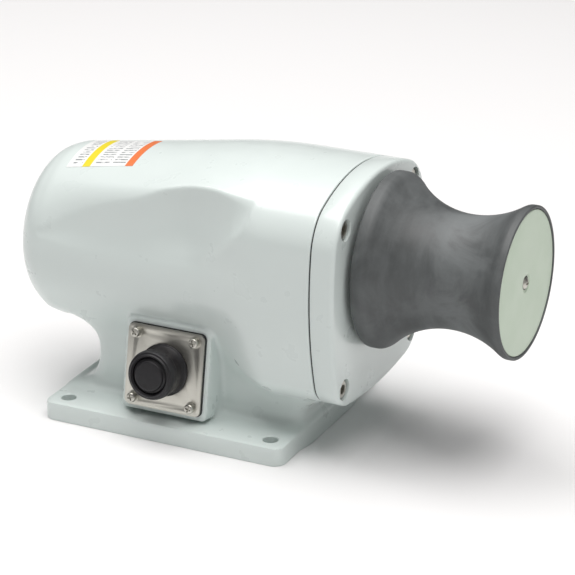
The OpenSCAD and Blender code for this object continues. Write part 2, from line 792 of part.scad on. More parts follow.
layshaft_gear_x = motor_plate_x + motor_plate_t + 6;
layshaft_seat_d = 15;
module layshaft() {
    pinion_x = gear_x - 2;
    pinion_width = output_gear_width + 4;
    front = LAYSHAFT_BEARINGS[1];
    color("gray") difference() {
        union() {
            rod(LAYSHAFT_BEARINGS[0][0], layshaft_gear_x, 12, 0, layshaft_z);
            rod(motor_plate_x + motor_plate_t + 0.5, layshaft_gear_x, 14, 0, layshaft_z);
            rod(layshaft_gear_x, layshaft_gear_x + layshaft_gear_width, layshaft_seat_d,
                0, layshaft_z);
            rod(layshaft_gear_x + layshaft_gear_width, front[0], 17, 0, layshaft_z);
            rod(front[0] - 1, front[0] + front[1], 12, 0, layshaft_z);
            spur_gear(output_module, pinion_teeth, pinion_x, pinion_width, layshaft_z,
                180 / pinion_teeth);
        }
        key(layshaft_gear_x, layshaft_gear_width, 5 + 2 * slip, 5, layshaft_seat_d, layshaft_z);
    }
}

module layshaft_gear() {
    color("slategray") difference() {
        spur_gear(input_module, layshaft_teeth, layshaft_gear_x, layshaft_gear_width,
            layshaft_z, 0);
        rod(layshaft_gear_x - 1, seam_x, layshaft_seat_d, 0, layshaft_z);
        key(layshaft_gear_x - 1, layshaft_gear_width + 2, 5 + 2 * slip, 5, layshaft_seat_d,
            layshaft_z);
        for (a = [30:60:330])
            rod(layshaft_gear_x - 1, seam_x, 12, 22 * cos(a), layshaft_z + 22 * sin(a));
    }
}

module layshaft_key() {
    color("silver") key(layshaft_gear_x, layshaft_gear_width, 5, 5, layshaft_seat_d, layshaft_z);
}

// ---------- motor ----------

core_x = can_x - 70;
core_length = 56;
core_r = 33;
magnet_t = 9;
module motor_can() {
    color("dimgray") pipe(can_rear_x, can_x, motor_d, motor_d - 2 * can_t, 0, motor_z);
}

module motor_magnets() {
    magnet_r = motor_d / 2 - can_t - slip;
    span = 70;
    color("darkslategray") intersection() {
        pipe(core_x - 3, core_x + core_length + 3, 2 * magnet_r, 2 * (magnet_r - magnet_t),
            0, motor_z);
        for (a = [0:90:270]) translate([core_x - 4, 0, motor_z]) rotate([a, 0, 0])
            rotate([90, 0, 90]) linear_extrude(core_length + 8)
                polygon([[0, 0], 80 * [sin(-span / 2), cos(span / 2)], [0, 80],
                    80 * [sin(span / 2), cos(span / 2)]]);
    }
}

module motor_front_bell() {
    b = MOTOR_BEARINGS[0];
    color("lightgray") difference() {
        union() {
            rod(can_x, motor_plate_x, motor_d, 0, motor_z);
            rod(can_x - 4, can_x + 1, motor_d - 2 * can_t - 2 * slip, 0, motor_z);
        }
        rod(can_x - 5, can_x, motor_d - 2 * can_t - 8, 0, motor_z);
        rod(b[0], motor_plate_x + 1, b[2], 0, motor_z);
        rod(can_x - 5, motor_plate_x + 1, b[2] - 6, 0, motor_z);
        for (a = [45:90:315])
            rod(can_x + 2, motor_plate_x + 1, face_screw_d + 2 * slip,
                face_screw_r * cos(a), motor_z + face_screw_r * sin(a));
    }
}

module motor_rear_bell() {
    b = MOTOR_BEARINGS[1];
    color("lightgray") difference() {
        union() {
            rod(can_rear_x - 11, can_rear_x, motor_d, 0, motor_z);
            rod(can_rear_x - 1, can_rear_x + 4, motor_d - 2 * can_t - 2 * slip, 0, motor_z);
        }
        rod(can_rear_x, can_rear_x + 5, motor_d - 2 * can_t - 8, 0, motor_z);
        rod(b[0], can_rear_x + 5, b[2], 0, motor_z);
    }
}

module motor_face_screws() {
    color("dimgray") for (a = [45:90:315])
        cap_screw(motor_plate_x + motor_plate_t, face_screw_r * cos(a),
            motor_z + face_screw_r * sin(a), face_screw_d, 8.5, 4, 17, 4);
}

commutator_x = can_rear_x + 6;
commutator_length = 14;
commutator_r = 14;
brush_size = [10, 7, 14];
// Height from the commutator to the top of a holder, whose corners stay inside the can
brush_room = motor_d / 2 - can_t - commutator_r - 1;
module at_brushes() {
    for (a = [0, 180]) translate([commutator_x + commutator_length / 2, 0, motor_z])
        rotate([a, 0, 0]) translate([0, 0, commutator_r + slip]) children();
}

module brush_holders() {
    color("goldenrod") at_brushes() difference() {
        translate([-brush_size[0] / 2 - 1.5, -brush_size[1] / 2 - 1.5, 2])
            cube([brush_size[0] + 3, brush_size[1] + 3, brush_room - 2]);
        translate([-brush_size[0] / 2 - slip, -brush_size[1] / 2 - slip, 0])
            cube([brush_size[0] + 2 * slip, brush_size[1] + 2 * slip, brush_room - 1.5]);
    }
}

module brushes() {
    color("black") at_brushes()
        translate([-brush_size[0] / 2, -brush_size[1] / 2, 0]) cube(brush_size);
}

module brush_springs() {
    color("silver") at_brushes() translate([0, 0, brush_size[2]])
        coil(2.6, 0.35, brush_room - 1.5 - brush_size[2], 5);
}

module rotor_shaft() {
    color("gray") union() {
        rod(MOTOR_BEARINGS[1][0], motor_plate_x, 12, 0, motor_z);
        rod(core_x - 8, core_x + core_length + 6, 16, 0, motor_z);
        rod(motor_plate_x, layshaft_gear_x + layshaft_gear_width + 2, 8, 0, motor_z);
    }
}

slots = 12;
module armature_core() {
    color("silver") difference() {
        rod(core_x, core_x + core_length, 2 * core_r, 0, motor_z);
        rod(core_x - 1, core_x + core_length + 1, 16, 0, motor_z);
        for (i = [0:slots - 1]) translate([core_x - 1, 0, motor_z]) rotate([i * 360 / slots, 0, 0])
            translate([0, -4, core_r - 13]) cube([core_length + 2, 8, 20]);
    }
}

module armature_windings() {
    color("peru") {
        for (i = [0:slots - 1]) translate([core_x - 1, 0, motor_z]) rotate([i * 360 / slots, 0, 0])
            translate([0, -3.6, core_r - 12.5]) cube([core_length + 2, 7.2, 11]);
        for (x = [core_x - 7, core_x + core_length]) pipe(x, x + 7, 2 * core_r - 4, 18, 0, motor_z);
    }
}

module commutator() {
    bars = 12;
    color("orange") difference() {
        rod(commutator_x, commutator_x + commutator_length, 2 * commutator_r, 0, motor_z);
        rod(commutator_x - 1, commutator_x + commutator_length + 1, 12, 0, motor_z);
        for (i = [0:bars - 1]) translate([commutator_x - 1, 0, motor_z])
            rotate([(i + 0.5) * 360 / bars, 0, 0])
                translate([0, -0.4, commutator_r - 2]) cube([commutator_length + 2, 0.8, 3]);
    }
}

module motor_pinion() {
    pinion_x = layshaft_gear_x - 1;
    color("slategray") difference() {
        spur_gear(input_module, motor_teeth, pinion_x, layshaft_gear_width + 3, motor_z,
            180 / motor_teeth);
        rod(pinion_x - 1, seam_x, 8, 0, motor_z);
    }
}

// ---------- bottom cover ----------

bottom_length = pocket_length + 2 * bottom_ledge - 1;
bottom_width = 2 * (pocket_half + bottom_ledge) - 1;
bottom_mid_x = pocket_x + pocket_length / 2;
bottom_cover_z = bottom_recess - bottom_gasket_t - bottom_cover_t;
module bottom_cover() {
    color("silver") difference() {
        translate([bottom_mid_x, 0, bottom_cover_z]) linear_extrude(bottom_cover_t)
            round_rect(bottom_length, bottom_width, 2);
        for (p = BOTTOM_SCREWS) translate([p[0], p[1], 0]) {
            cylinder(h = 20, d = bottom_screw_d + 2 * slip);
        }
        translate([grommet_x, 0, 0]) cylinder(h = 20, d = grommet_hole_d);
    }
}

module bottom_gasket() {
    color("black") translate([bottom_mid_x, 0, bottom_recess - bottom_gasket_t])
        linear_extrude(bottom_gasket_t) difference() {
            round_rect(bottom_length, bottom_width, 2);
            square([pocket_length, 2 * pocket_half], center = true);
            for (p = BOTTOM_SCREWS) translate([p[0] - bottom_mid_x, p[1]])
                circle(d = bottom_screw_d + 1);
        }
}

module bottom_cover_screws() {
    head_h = 2.2;
    color("silver") for (p = BOTTOM_SCREWS) translate([p[0], p[1], bottom_cover_z - head_h])
        difference() {
            union() {
                cylinder(h = head_h, d = 7.5);
                cylinder(h = head_h + bottom_cover_t + 5, d = bottom_screw_d);
            }
            for (a = [0, 90]) rotate([0, 0, a]) translate([-2.2, -0.5, -1]) cube([4.4, 1, 2.2]);
        }
}

module cable_grommet() {
    color("black") translate([grommet_x, 0, 0]) rotate_extrude() {
        translate([grommet_bore_d / 2, bottom_cover_z - 2])
            square([grommet_hole_d / 2 - grommet_bore_d / 2, bottom_cover_t + 4]);
        for (z = [bottom_cover_z - 2, bottom_cover_z + bottom_cover_t])
            translate([grommet_bore_d / 2, z]) square([7, 2]);
    }
}

// ---------- switch ----------

module switch_gasket() {
    color("black") on_switch_face() linear_extrude(switch_gasket_t) difference() {
        round_rect(plate_width + 0.8, plate_height + 0.8, 3.5);
        circle(d = collar_base_d - 3);
        for (x = [-1, 1], y = [-1, 1]) translate([x * switch_screw_x, y * switch_screw_y])
            circle(d = switch_screw_d + 1);
    }
}

module switch_plate() {
    color("silver") on_switch_face() translate([0, 0, switch_gasket_t])
        linear_extrude(plate_thick) difference() {
            round_rect(plate_width, plate_height, 3);
            circle(d = switch_barrel_d + 2 * slip);
            for (x = [-1, 1], y = [-1, 1]) translate([x * switch_screw_x, y * switch_screw_y])
                circle(d = switch_screw_d + 2 * slip);
        }
}

// Pan-head screws with a cross recess
module switch_plate_screws() {
    head_h = 2.6;
    color("silver") on_switch_face() for (x = [-1, 1], y = [-1, 1])
        translate([x * switch_screw_x, y * switch_screw_y, plate_top]) difference() {
            union() {
                cylinder(h = head_h, d1 = 8, d2 = 6.4);
                translate([0, 0, -plate_top - 7]) cylinder(h = plate_top + 7.1, d = switch_screw_d);
            }
            for (a = [45, 135]) rotate([0, 0, a]) translate([-1.9, -0.45, head_h - 1.3])
                cube([3.8, 0.9, 2]);
        }
}

// Rubber collar round the button
module switch_collar() {
    bore_r = button_d / 2 + air;
    color("black") on_switch_face() rotate_extrude() {
        translate([switch_barrel_d / 2, plate_top])
            square([collar_base_d / 2 - switch_barrel_d / 2, 2.5]);
        translate([bore_r, plate_top + 2])
            square([collar_waist_d / 2 - bore_r, collar_top - plate_top - 2]);
        translate([bore_r, collar_top - 9]) square([collar_front_d / 2 - bore_r, 8]);
        translate([bore_r, collar_top - 9]) square([collar_front_d / 2 - 1 - bore_r, 9]);
    }
}

// Threaded barrel through the plate, and the contact block behind it
module switch_body() {
    color("black") on_switch_face() difference() {
        union() {
            translate([0, 0, -6]) cylinder(h = plate_top + 7, d = switch_barrel_d);
            translate([-9.5, -9.5, -22]) cube([19, 19, 17]);
        }
        translate([0, 0, spring_seat]) cylinder(h = stem_stop - spring_seat, d = 9);
        translate([0, 0, spring_seat]) cylinder(h = 40, d = stem_d + 0.4);
    }
}

module switch_terminals() {
    color("goldenrod") on_switch_face() for (x = [-1, 1])
        translate([x * 6 - 0.4, -3, -28]) cube([0.8, 6, 6]);
}

module switch_nut() {
    color("silver") on_switch_face() translate([0, 0, -3]) difference() {
        cylinder(h = 3, d = 29, $fn = 6);
        translate([0, 0, -1]) cylinder(h = 5, d = switch_barrel_d + 2 * slip);
    }
}

module push_button() {
    color("black") on_switch_face() rotate_extrude() {
        translate([0, button_seat]) square([button_d / 2, button_top - button_seat - 2]);
        translate([0, button_seat]) square([button_d / 2 - 2, button_top - button_seat]);
    }
}

module button_plunger() {
    color("silver") on_switch_face() translate([0, 0, stem_stop - stem_foot_t]) union() {
        cylinder(h = button_seat - stem_stop + stem_foot_t, d = stem_d);
        cylinder(h = stem_foot_t, d = 8.6);
    }
}

module switch_spring() {
    color("silver") on_switch_face() translate([0, 0, spring_seat])
        coil(3.6, 0.4, stem_stop - stem_foot_t - spring_seat, 4);
}

// ---------- label ----------

label_x = -92;
label_length = 48;
label_near = -27;
label_far = 12;
label_t = 0.3;
module label() {
    color("white") intersection() {
        difference() {
            roof_rise(label_t);
            roof_rise();
        }
        translate([label_x, label_near, motor_z])
            cube([label_length, label_far - label_near, case_top_z]);
    }
}

housing();
front_cover();
cover_gasket();
cover_bolts();
cover_dowels();
center_plate();
center_plate_bolts();
motor_plate();
motor_plate_bolts();
output_bearing_outer_races();
layshaft_bearing_outer_races();
motor_bearing_outer_races();
bearing_balls();
oil_seal();
motor_can();
motor_magnets();
motor_front_bell();
motor_rear_bell();
motor_face_screws();
brush_holders();
brushes();
brush_springs();
bottom_cover();
bottom_gasket();
bottom_cover_screws();
cable_grommet();
switch_gasket();
switch_plate();
switch_plate_screws();
switch_collar();
switch_body();
switch_terminals();
switch_nut();
label();
drum();
drum_cap();
drum_cap_screw();
drum_key();
drum_washer();
drum_nut();
output_shaft();
output_inner_races();
seal_sleeve();
gear_spacer();
output_gear();
gear_key();
layshaft();
layshaft_gear();
layshaft_key();
layshaft_inner_races();
rotor_shaft();
armature_core();
armature_windings();
commutator();
motor_pinion();
motor_inner_races();
push_button();
button_plunger();
switch_spring();
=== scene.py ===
"""Anchor windlass: finished surfaces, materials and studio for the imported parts.

Lengths inside the shape functions are in millimetres and are turned into metres when a mesh is made.
+X runs along the drum shaft towards the drum's outer end, +Z is up.
"""
import json
import math

import bmesh
import bpy
import numpy as np
from bpy.props import FloatProperty, FloatVectorProperty, IntProperty, PointerProperty
from mathutils import Matrix, Vector


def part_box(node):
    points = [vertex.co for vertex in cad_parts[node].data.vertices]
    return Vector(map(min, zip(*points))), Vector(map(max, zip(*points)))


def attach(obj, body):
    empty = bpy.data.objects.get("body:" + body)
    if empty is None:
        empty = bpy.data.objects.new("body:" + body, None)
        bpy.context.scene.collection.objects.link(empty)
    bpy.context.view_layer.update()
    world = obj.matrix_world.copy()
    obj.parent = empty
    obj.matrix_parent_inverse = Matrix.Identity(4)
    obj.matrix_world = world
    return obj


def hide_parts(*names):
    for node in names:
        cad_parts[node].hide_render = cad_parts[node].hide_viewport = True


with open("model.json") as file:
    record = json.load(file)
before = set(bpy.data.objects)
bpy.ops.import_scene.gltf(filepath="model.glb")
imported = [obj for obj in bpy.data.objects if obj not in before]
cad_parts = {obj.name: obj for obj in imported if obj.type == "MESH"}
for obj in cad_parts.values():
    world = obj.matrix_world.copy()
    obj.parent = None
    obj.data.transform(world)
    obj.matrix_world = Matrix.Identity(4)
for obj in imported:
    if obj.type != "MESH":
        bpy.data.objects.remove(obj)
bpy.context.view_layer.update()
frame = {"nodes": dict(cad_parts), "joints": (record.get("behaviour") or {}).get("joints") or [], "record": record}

bl_info = {
    "name": "Anchor windlass surfaces",
    "version": (1, 0, 0),
    "blender": (4, 5, 0),
    "location": "3D View > Sidebar > Windlass",
    "description": "Builds the castings, drum, switch and studio of an anchor windlass",
    "category": "Object",
}

MM = 0.001
SLOT_OF = {part["node"]: part["material_slot"] for part in frame["record"]["subparts"]}


# ---------- places read from the frame ----------

def joint(name):
    """The record's row for one joint."""
    return next(row for row in frame["joints"] if row["name"] == name)


def low(node, axis):
    """Lowest place of a part along an axis, in millimetres."""
    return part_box(node)[0][axis] / MM


def high(node, axis):
    """Highest place of a part along an axis, in millimetres."""
    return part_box(node)[1][axis] / MM


SHAFT_Z = joint("drum_spin")["pos_m"][2] / MM
LAYSHAFT_Z = joint("layshaft_spin")["pos_m"][2] / MM
BARREL_Z = joint("motor_spin")["pos_m"][2] / MM
SEAM_X = high("housing", 0)
COVER_BACK_X = high("cover_gasket", 0)
COVER_FRONT_X = high("front_cover", 0)
DRUM_X = low("drum", 0)
DRUM_END_X = high("drum", 0)
PRESS_AXIS = Vector(joint("button_press")["axis"])
BASE_X = 88.0
BASE_Y = high("housing", 1)
BASE_EDGE = 2.0


# ---------- sizes and colours a user may change ----------

def length(name, description, millimetres):
    """A length property shown in the panel."""
    return FloatProperty(name=name, description=description, default=millimetres * MM,
                         unit="LENGTH", subtype="DISTANCE", precision=4)


def colour(name, description, red, green, blue):
    """A colour property shown in the panel."""
    return FloatVectorProperty(name=name, description=description, default=(red, green, blue),
                               subtype="COLOR", size=3, min=0, max=1)


class WindlassCastingSizes(bpy.types.PropertyGroup):
    """Sizes of the housing and the front cover."""
    barrel_radius: length("Barrel radius", "Outer radius of the motor barrel", 58.9)
    barrel_end: length("Barrel end", "Place of the barrel's rear end along the shaft", -119)
    barrel_round: length("Barrel round", "Radius round the barrel's rear edge", 24)
    base_thickness: length("Base thickness", "Thickness of the base plate", 12.5)
    base_corner: length("Base corner", "Corner radius of the base plate", 8)
    hole_radius: length("Mounting hole radius", "Radius of each mounting hole", 5)
    pedestal_half: length("Pedestal half width", "Half of the width of the pedestal", 40)
    foot_fillet: length("Foot fillet", "Fillet between the pedestal and the base", 9)
    box_border: length("Switch box border", "Border of the switch box round its plate", 3.4)
    cover_round: length("Cover round", "Radius round the front edge of the cover", 3)
    skin_step: length("Skin step", "Grid spacing of the housing's skin", 1.7)


class WindlassDrumSizes(bpy.types.PropertyGroup):
    """Sizes of the drum."""
    flange_radius: length("Flange radius", "Radius of the drum's inner flange", 57.5)
    flange_band: length("Flange band", "Width of the straight band on the inner flange", 8)
    waist_radius: length("Waist radius", "Radius of the drum's waist", 37.2)
    waist_place: length("Waist place", "Distance of the waist from the drum's back", 53)
    rim_radius: length("Rim radius", "Radius of the drum's outer end", 49.4)
    rim_band: length("Rim band", "Width of the rounded rim at the outer end", 5)
    segments: IntProperty(name="Segments", description="Steps round each turned part",
                          default=160, min=24, max=256)


class WindlassSwitchSizes(bpy.types.PropertyGroup):
    """Sizes of the push-button switch."""
    plate_width: length("Plate width", "Width of the switch plate", 55.7)
    plate_height: length("Plate height", "Height of the switch plate", 55)
    plate_thickness: length("Plate thickness", "Thickness of the switch plate", 1.5)
    plate_corner: length("Plate corner", "Corner radius of the switch plate", 4)
    gasket_thickness: length("Gasket thickness", "Thickness of the gasket", 1.5)
    screw_spacing_x: length("Screw spacing across", "Spacing of the plate screws", 42.7)
    screw_spacing_y: length("Screw spacing up", "Spacing of the plate screws", 44.2)


class WindlassColours(bpy.types.PropertyGroup):
    """Colours of the finishes."""
    paint: colour("Paint", "Gloss paint of the castings", 0.695, 0.763, 0.742)
    drum: colour("Drum", "Hard coat of the drum", 0.088, 0.095, 0.096)
    disc: colour("End disc", "Disc in the end of the drum", 0.56, 0.67, 0.53)
    steel: colour("Steel", "Brushed stainless steel", 0.56, 0.55, 0.50)
    rubber: colour("Rubber", "Black rubber of the button", 0.008, 0.0075, 0.009)
    floor: colour("Floor", "Studio floor", 0.87, 0.87, 0.87)


# ---------- smooth field of the housing ----------

def smooth_min(a, b, k):
    """Union of two fields with a fillet about k wide."""
    h = np.maximum(k - np.abs(a - b), 0) / k
    return np.minimum(a, b) - h * h * k / 4


def smooth_max(a, b, k):
    """Cut of one field by another with an edge softened over k."""
    return -smooth_min(-a, -b, k)


def ramp(v, start, end):
    """0 before start, 1 after end, smooth between."""
    t = np.clip((v - start) / (end - start), 0, 1)
    return t * t * (3 - 2 * t)


def round_corner(a, b, r):
    """Where two fields meet, with the corner between them rounded by r."""
    return (np.minimum(np.maximum(a, b), -r)
            + np.hypot(np.maximum(a + r, 0), np.maximum(b + r, 0)))


def curve(points, v):
    """A smooth curve through a few (place, value) points, level past its ends."""
    place, value = np.array(points, float).T
    slope = np.gradient(value, place)
    v = np.clip(v, place[0], place[-1])
    i = np.clip(np.searchsorted(place, v) - 1, 0, len(place) - 2)
    step = place[i + 1] - place[i]
    t = (v - place[i]) / step
    return ((1 + 2 * t) * (1 - t) ** 2 * value[i] + t * (1 - t) ** 2 * step * slope[i]
            + t * t * (3 - 2 * t) * value[i + 1] + t * t * (t - 1) * step * slope[i + 1])


# The gear case outline: large arcs (distance of the centre past the middle plane, centre z, radius)
# and one radius for its four corners.
CASE_TOP = (0, 55, 130)
CASE_SIDE = (147, 117, 220)
CASE_BOTTOM = (0, 335.5, 300)
CASE_CORNER = 12


def case_outline(y, z):
    """Signed distance to the gear case outline in a section across the shaft."""
    side = np.hypot(np.abs(y) + CASE_SIDE[0], z - CASE_SIDE[1]) - CASE_SIDE[2]
    top = np.hypot(y, z - CASE_TOP[1]) - CASE_TOP[2]
    bottom = np.hypot(y, z - CASE_BOTTOM[1]) - CASE_BOTTOM[2]
    across = np.where(z > CASE_SIDE[1], top, bottom)
    return round_corner(side, across, CASE_CORNER)


def outline_radius(elevation, inset=0.0):
    """Distance from the barrel's axis to the case outline, for elevations in radians."""
    near = np.zeros_like(elevation)
    far = np.full_like(elevation, 260.0)
    for _ in range(32):
        middle = (near + far) / 2
        outside = case_outline(middle * np.cos(elevation), BARREL_Z + middle * np.sin(elevation)) > -inset
        far = np.where(outside, middle, far)
        near = np.where(outside, near, middle)
    return near


ELEVATIONS = np.linspace(-math.pi / 2, math.pi / 2, 721)
OUTLINE = outline_radius(ELEVATIONS)

# The barrel swells into the gear case: the roof all along, the sides only near the case
ROOF_START_X, ROOF_RUN = -102, 133
SIDE_START_X, SIDE_END_X = 16, 72
SIDE_ELEVATION, ROOF_ELEVATION = math.radians(12), math.radians(52)

# The hollow along each side runs between two creases: (x, distance from the middle plane, z).
# HOLLOW_SAG is (x, depth) under the straight line between them.
UPPER_CREASE = [(-97, 57, 126), (-82, 54.7, 131.5), (-52, 52.7, 146), (-22, 53, 158), (-5, 50.7, 166.7),
                (12, 49.8, 171.3), (27, 51.2, 172.6), (43, 55, 171.8), (60, 58.8, 168.8)]
LOWER_CREASE = [(-97, 57, 124.5), (-73, 57.2, 122.5), (-50, 57.7, 120.5), (-14, 57.5, 121),
                (5, 57.4, 122), (19, 57.4, 124), (35, 61, 132.5), (48, 65.4, 146), (60, 63, 163.5)]
HOLLOW_SAG = [(-97, 0.1), (-60, 0.9), (-20, 2.4), (2, 3.9), (9, 4.2), (16, 3.6), (38, 1.8), (60, 0.2)]


def growth(x, y, z, barrel_r):
    """How far the body swells past the round barrel as it turns into the gear case."""
    elevation = np.arctan2(z - BARREL_Z, np.abs(y))
    full = np.interp(elevation, ELEVATIONS, OUTLINE) - barrel_r
    top = smooth_min(np.maximum((x - ROOF_START_X) / ROOF_RUN, 0), 1.0, 0.2)
    side = ramp(x, SIDE_START_X, SIDE_END_X)
    upper = ramp(elevation, SIDE_ELEVATION, ROOF_ELEVATION)
    return full * (upper * top + (1 - upper) * side)


def body_field(x, y, z, sizes):
    """Barrel that swells into the gear case, before the hollows are cut."""
    barrel_r = sizes["barrel_radius"]
    out = np.hypot(y, z - BARREL_Z) - barrel_r
    return round_corner(sizes["barrel_end"] - x, out, sizes["barrel_round"]) - growth(x, y, z, barrel_r)


def crease(points, x):
    """Distance from the middle plane and height of a crease at x."""
    rows = np.array(points, float)
    return curve(rows[:, [0, 1]], x), curve(rows[:, [0, 2]], x)


def hollow_field(x, y, z):
    """Negative inside the space cut along each side, between the two creases."""
    uy, uz = crease(UPPER_CREASE, x)
    ly, lz = crease(LOWER_CREASE, x)
    half = np.maximum(np.hypot(uy - ly, uz - lz) / 2, 0.5)
    ty, tz = (uy - ly) / (2 * half), (uz - lz) / (2 * half)
    dy, dz = np.abs(y) - (uy + ly) / 2, z - (uz + lz) / 2
    across = dy * ty + dz * tz
    out = dy * tz - dz * ty
    cut = -curve(HOLLOW_SAG, x) * (1 - (across / half) ** 2) - out
    return np.maximum(cut, np.maximum(UPPER_CREASE[0][0] - x, x - UPPER_CREASE[-1][0]))


# The pedestal, with a round sweep behind it and one in front
PEDESTAL_FRONT_X, PEDESTAL_TOP_Z, PEDESTAL_END_X, PEDESTAL_EDGE = 84, 75, 95, 12
REAR_SWEEP_R, REAR_SWEEP_BACK, REAR_SWEEP_UP = 34, 13, 26


def pedestal_field(x, y, z, sizes):
    """Pedestal between the base and the body, swept in behind and in front."""
    up = z - sizes["base_thickness"]
    behind = REAR_SWEEP_R - np.hypot(x + BASE_X + REAR_SWEEP_BACK, up - REAR_SWEEP_UP)
    in_front = (SEAM_X - PEDESTAL_FRONT_X) - np.hypot(x - SEAM_X, up)
    profile = np.maximum(np.maximum(behind, in_front), z - PEDESTAL_TOP_Z)
    profile = np.maximum(profile, np.abs(x) - PEDESTAL_END_X)
    return smooth_max(np.abs(y) - sizes["pedestal_half"], profile, PEDESTAL_EDGE)


def base_field(x, y, z, sizes):
    """Base plate with round corners and a soft upper edge."""
    plan = round_corner(np.abs(x) - BASE_X, np.abs(y) - BASE_Y, sizes["base_corner"])
    return round_corner(plan, z - sizes["base_thickness"], BASE_EDGE)


BOX_CORNER, BOX_EDGE, BOX_DEPTH = 4.0, 1.2, 34


def switch_box_field(x, y, z, sizes, place):
    """Box that carries the switch plate, leaning with it."""
    out, up = place["normal"], place["up"]
    ox, oy, oz = place["origin"]
    across = np.abs(x - ox) - (place["width"] / 2 + sizes["box_border"])
    height = np.abs((y - oy) * up[1] + (z - oz) * up[2]) - (place["height"] / 2 + sizes["box_border"])
    depth = (y - oy) * out[1] + (z - oz) * out[2]
    front = round_corner(round_corner(across, height, BOX_CORNER), depth, BOX_EDGE)
    return np.maximum(front, -depth - BOX_DEPTH)


# Widths of the fillets where the housing's shapes meet, and where the foot fillet narrows
CREASE_SOFTNESS, PEDESTAL_FILLET, BOX_FILLET, NARROW_FILLET = 2.2, 14, 4, 1.2
NARROW_FROM, NARROW_TO = 44, 52


def housing_field(x, y, z, sizes, place):
    """The whole outer skin of the housing."""
    body = smooth_max(body_field(x, y, z, sizes), -hollow_field(x, y, z), CREASE_SOFTNESS)
    lower = smooth_min(body, pedestal_field(x, y, z, sizes), PEDESTAL_FILLET)
    lower = smooth_min(lower, switch_box_field(x, y, z, sizes, place), BOX_FILLET)
    wide = sizes["foot_fillet"]
    fillet = wide + (NARROW_FILLET - wide) * ramp(-y, NARROW_FROM, NARROW_TO)
    return smooth_min(lower, base_field(x, y, z, sizes), fillet)


def edge_ends(axis):
    """Slices that give the two ends of every grid edge along an axis."""
    return [tuple(ends if i == axis else slice(None) for i in range(3))
            for ends in (slice(0, -1), slice(1, None))]


def skin(field, low_corner, high_corner, step):
    """Points and quads of a field's zero level: one point in each grid cell it crosses."""
    axes = [np.arange(a, b + step, step) for a, b in zip(low_corner, high_corner)]
    value = field(*np.meshgrid(*axes, indexing="ij"))
    inside = value < 0
    shape = np.array(value.shape) - 1
    total = np.zeros((*shape, 3))
    count = np.zeros(shape)
    for axis in range(3):
        a, b = edge_ends(axis)
        crossed = inside[a] != inside[b]
        share = np.where(crossed, value[a] / np.where(crossed, value[a] - value[b], 1), 0)
        others = [i for i in range(3) if i != axis]
        for corner in ((0, 0), (0, 1), (1, 0), (1, 1)):
            pick = [slice(None)] * 3
            for other, i in zip(others, corner):
                pick[other] = slice(i, i + shape[other])
            hit, part_way = crossed[tuple(pick)], share[tuple(pick)]
            count += hit
            total[..., axis] += part_way * hit
            for other, i in zip(others, corner):
                total[..., other] += i * hit
    used = count > 0
    number = np.full(tuple(shape), -1)
    number[used] = np.arange(used.sum())
    cells = np.argwhere(used)
    points = np.array(low_corner) + step * (cells + total[used] / count[used][:, None])
    quads = []
    for axis in range(3):
        u, v = (axis + 1) % 3, (axis + 2) % 3
        a, b = edge_ends(axis)
        at = np.argwhere(inside[a] != inside[b])
        at = at[(at[:, u] > 0) & (at[:, v] > 0) & (at[:, u] < shape[u]) & (at[:, v] < shape[v])]
        corners = []
        for du, dv in ((1, 1), (0, 1), (0, 0), (1, 0)):
            cell = at.copy()
            cell[:, u] -= du
            cell[:, v] -= dv
            corners.append(number[tuple(cell.T)])
        quad = np.stack(corners, 1)
        leaving = inside[tuple(at.T)]
        quad[~leaving] = quad[~leaving][:, ::-1]
        quads.append(quad)
    quads = np.concatenate(quads)
    return relax(field, settle(field, points, step), quads, step), quads


def relax(field, points, quads, step):
    """Evens out the points' spacing along the surface."""
    links = np.concatenate([quads[:, [i, (i + 1) % 4]] for i in range(4)])
    count = np.bincount(links.ravel(), minlength=len(points))[:, None]
    for _ in range(3):
        total = np.zeros_like(points)
        np.add.at(total, links[:, 0], points[links[:, 1]])
        np.add.at(total, links[:, 1], points[links[:, 0]])
        points = settle(field, points + 0.5 * (total / count - points), step)
    return points


def settle(field, points, reach):
    """Moves points onto the field's zero level, by at most reach."""
    start = points.copy()
    for _ in range(4):
        value = field(*points.T)
        slope = slopes(field, points)
        points = points - slope * (value / np.maximum((slope ** 2).sum(1), 0.05))[:, None]
        points = start + np.clip(points - start, -0.6 * reach, 0.6 * reach)
    return points


def slopes(field, points):
    """The field's slope at each point."""
    d = 0.05
    steps = np.eye(3) * d
    return np.stack([(field(*(points + s).T) - field(*(points - s).T)) / (2 * d) for s in steps], 1)


# ---------- meshes ----------

def part(name, points, faces):
    """A new object from points in millimetres."""
    mesh = bpy.data.meshes.new(name)
    mesh.from_pydata((np.asarray(points, float) * MM).tolist(), [], [list(map(int, f)) for f in faces])
    mesh.validate()
    obj = bpy.data.objects.new(name, mesh)
    bpy.context.scene.collection.objects.link(obj)
    return obj


def rings_solid(name, rings):
    """A closed solid through rings of equal point counts, capped at both ends."""
    n = len(rings[0])
    points = [p for ring in rings for p in ring]
    faces = [[k * n + i, k * n + (i + 1) % n, (k + 1) * n + (i + 1) % n, (k + 1) * n + i]
             for k in range(len(rings) - 1) for i in range(n)]
    faces.append(list(range(n))[::-1])
    faces.append([(len(rings) - 1) * n + i for i in range(n)])
    return part(name, points, faces)


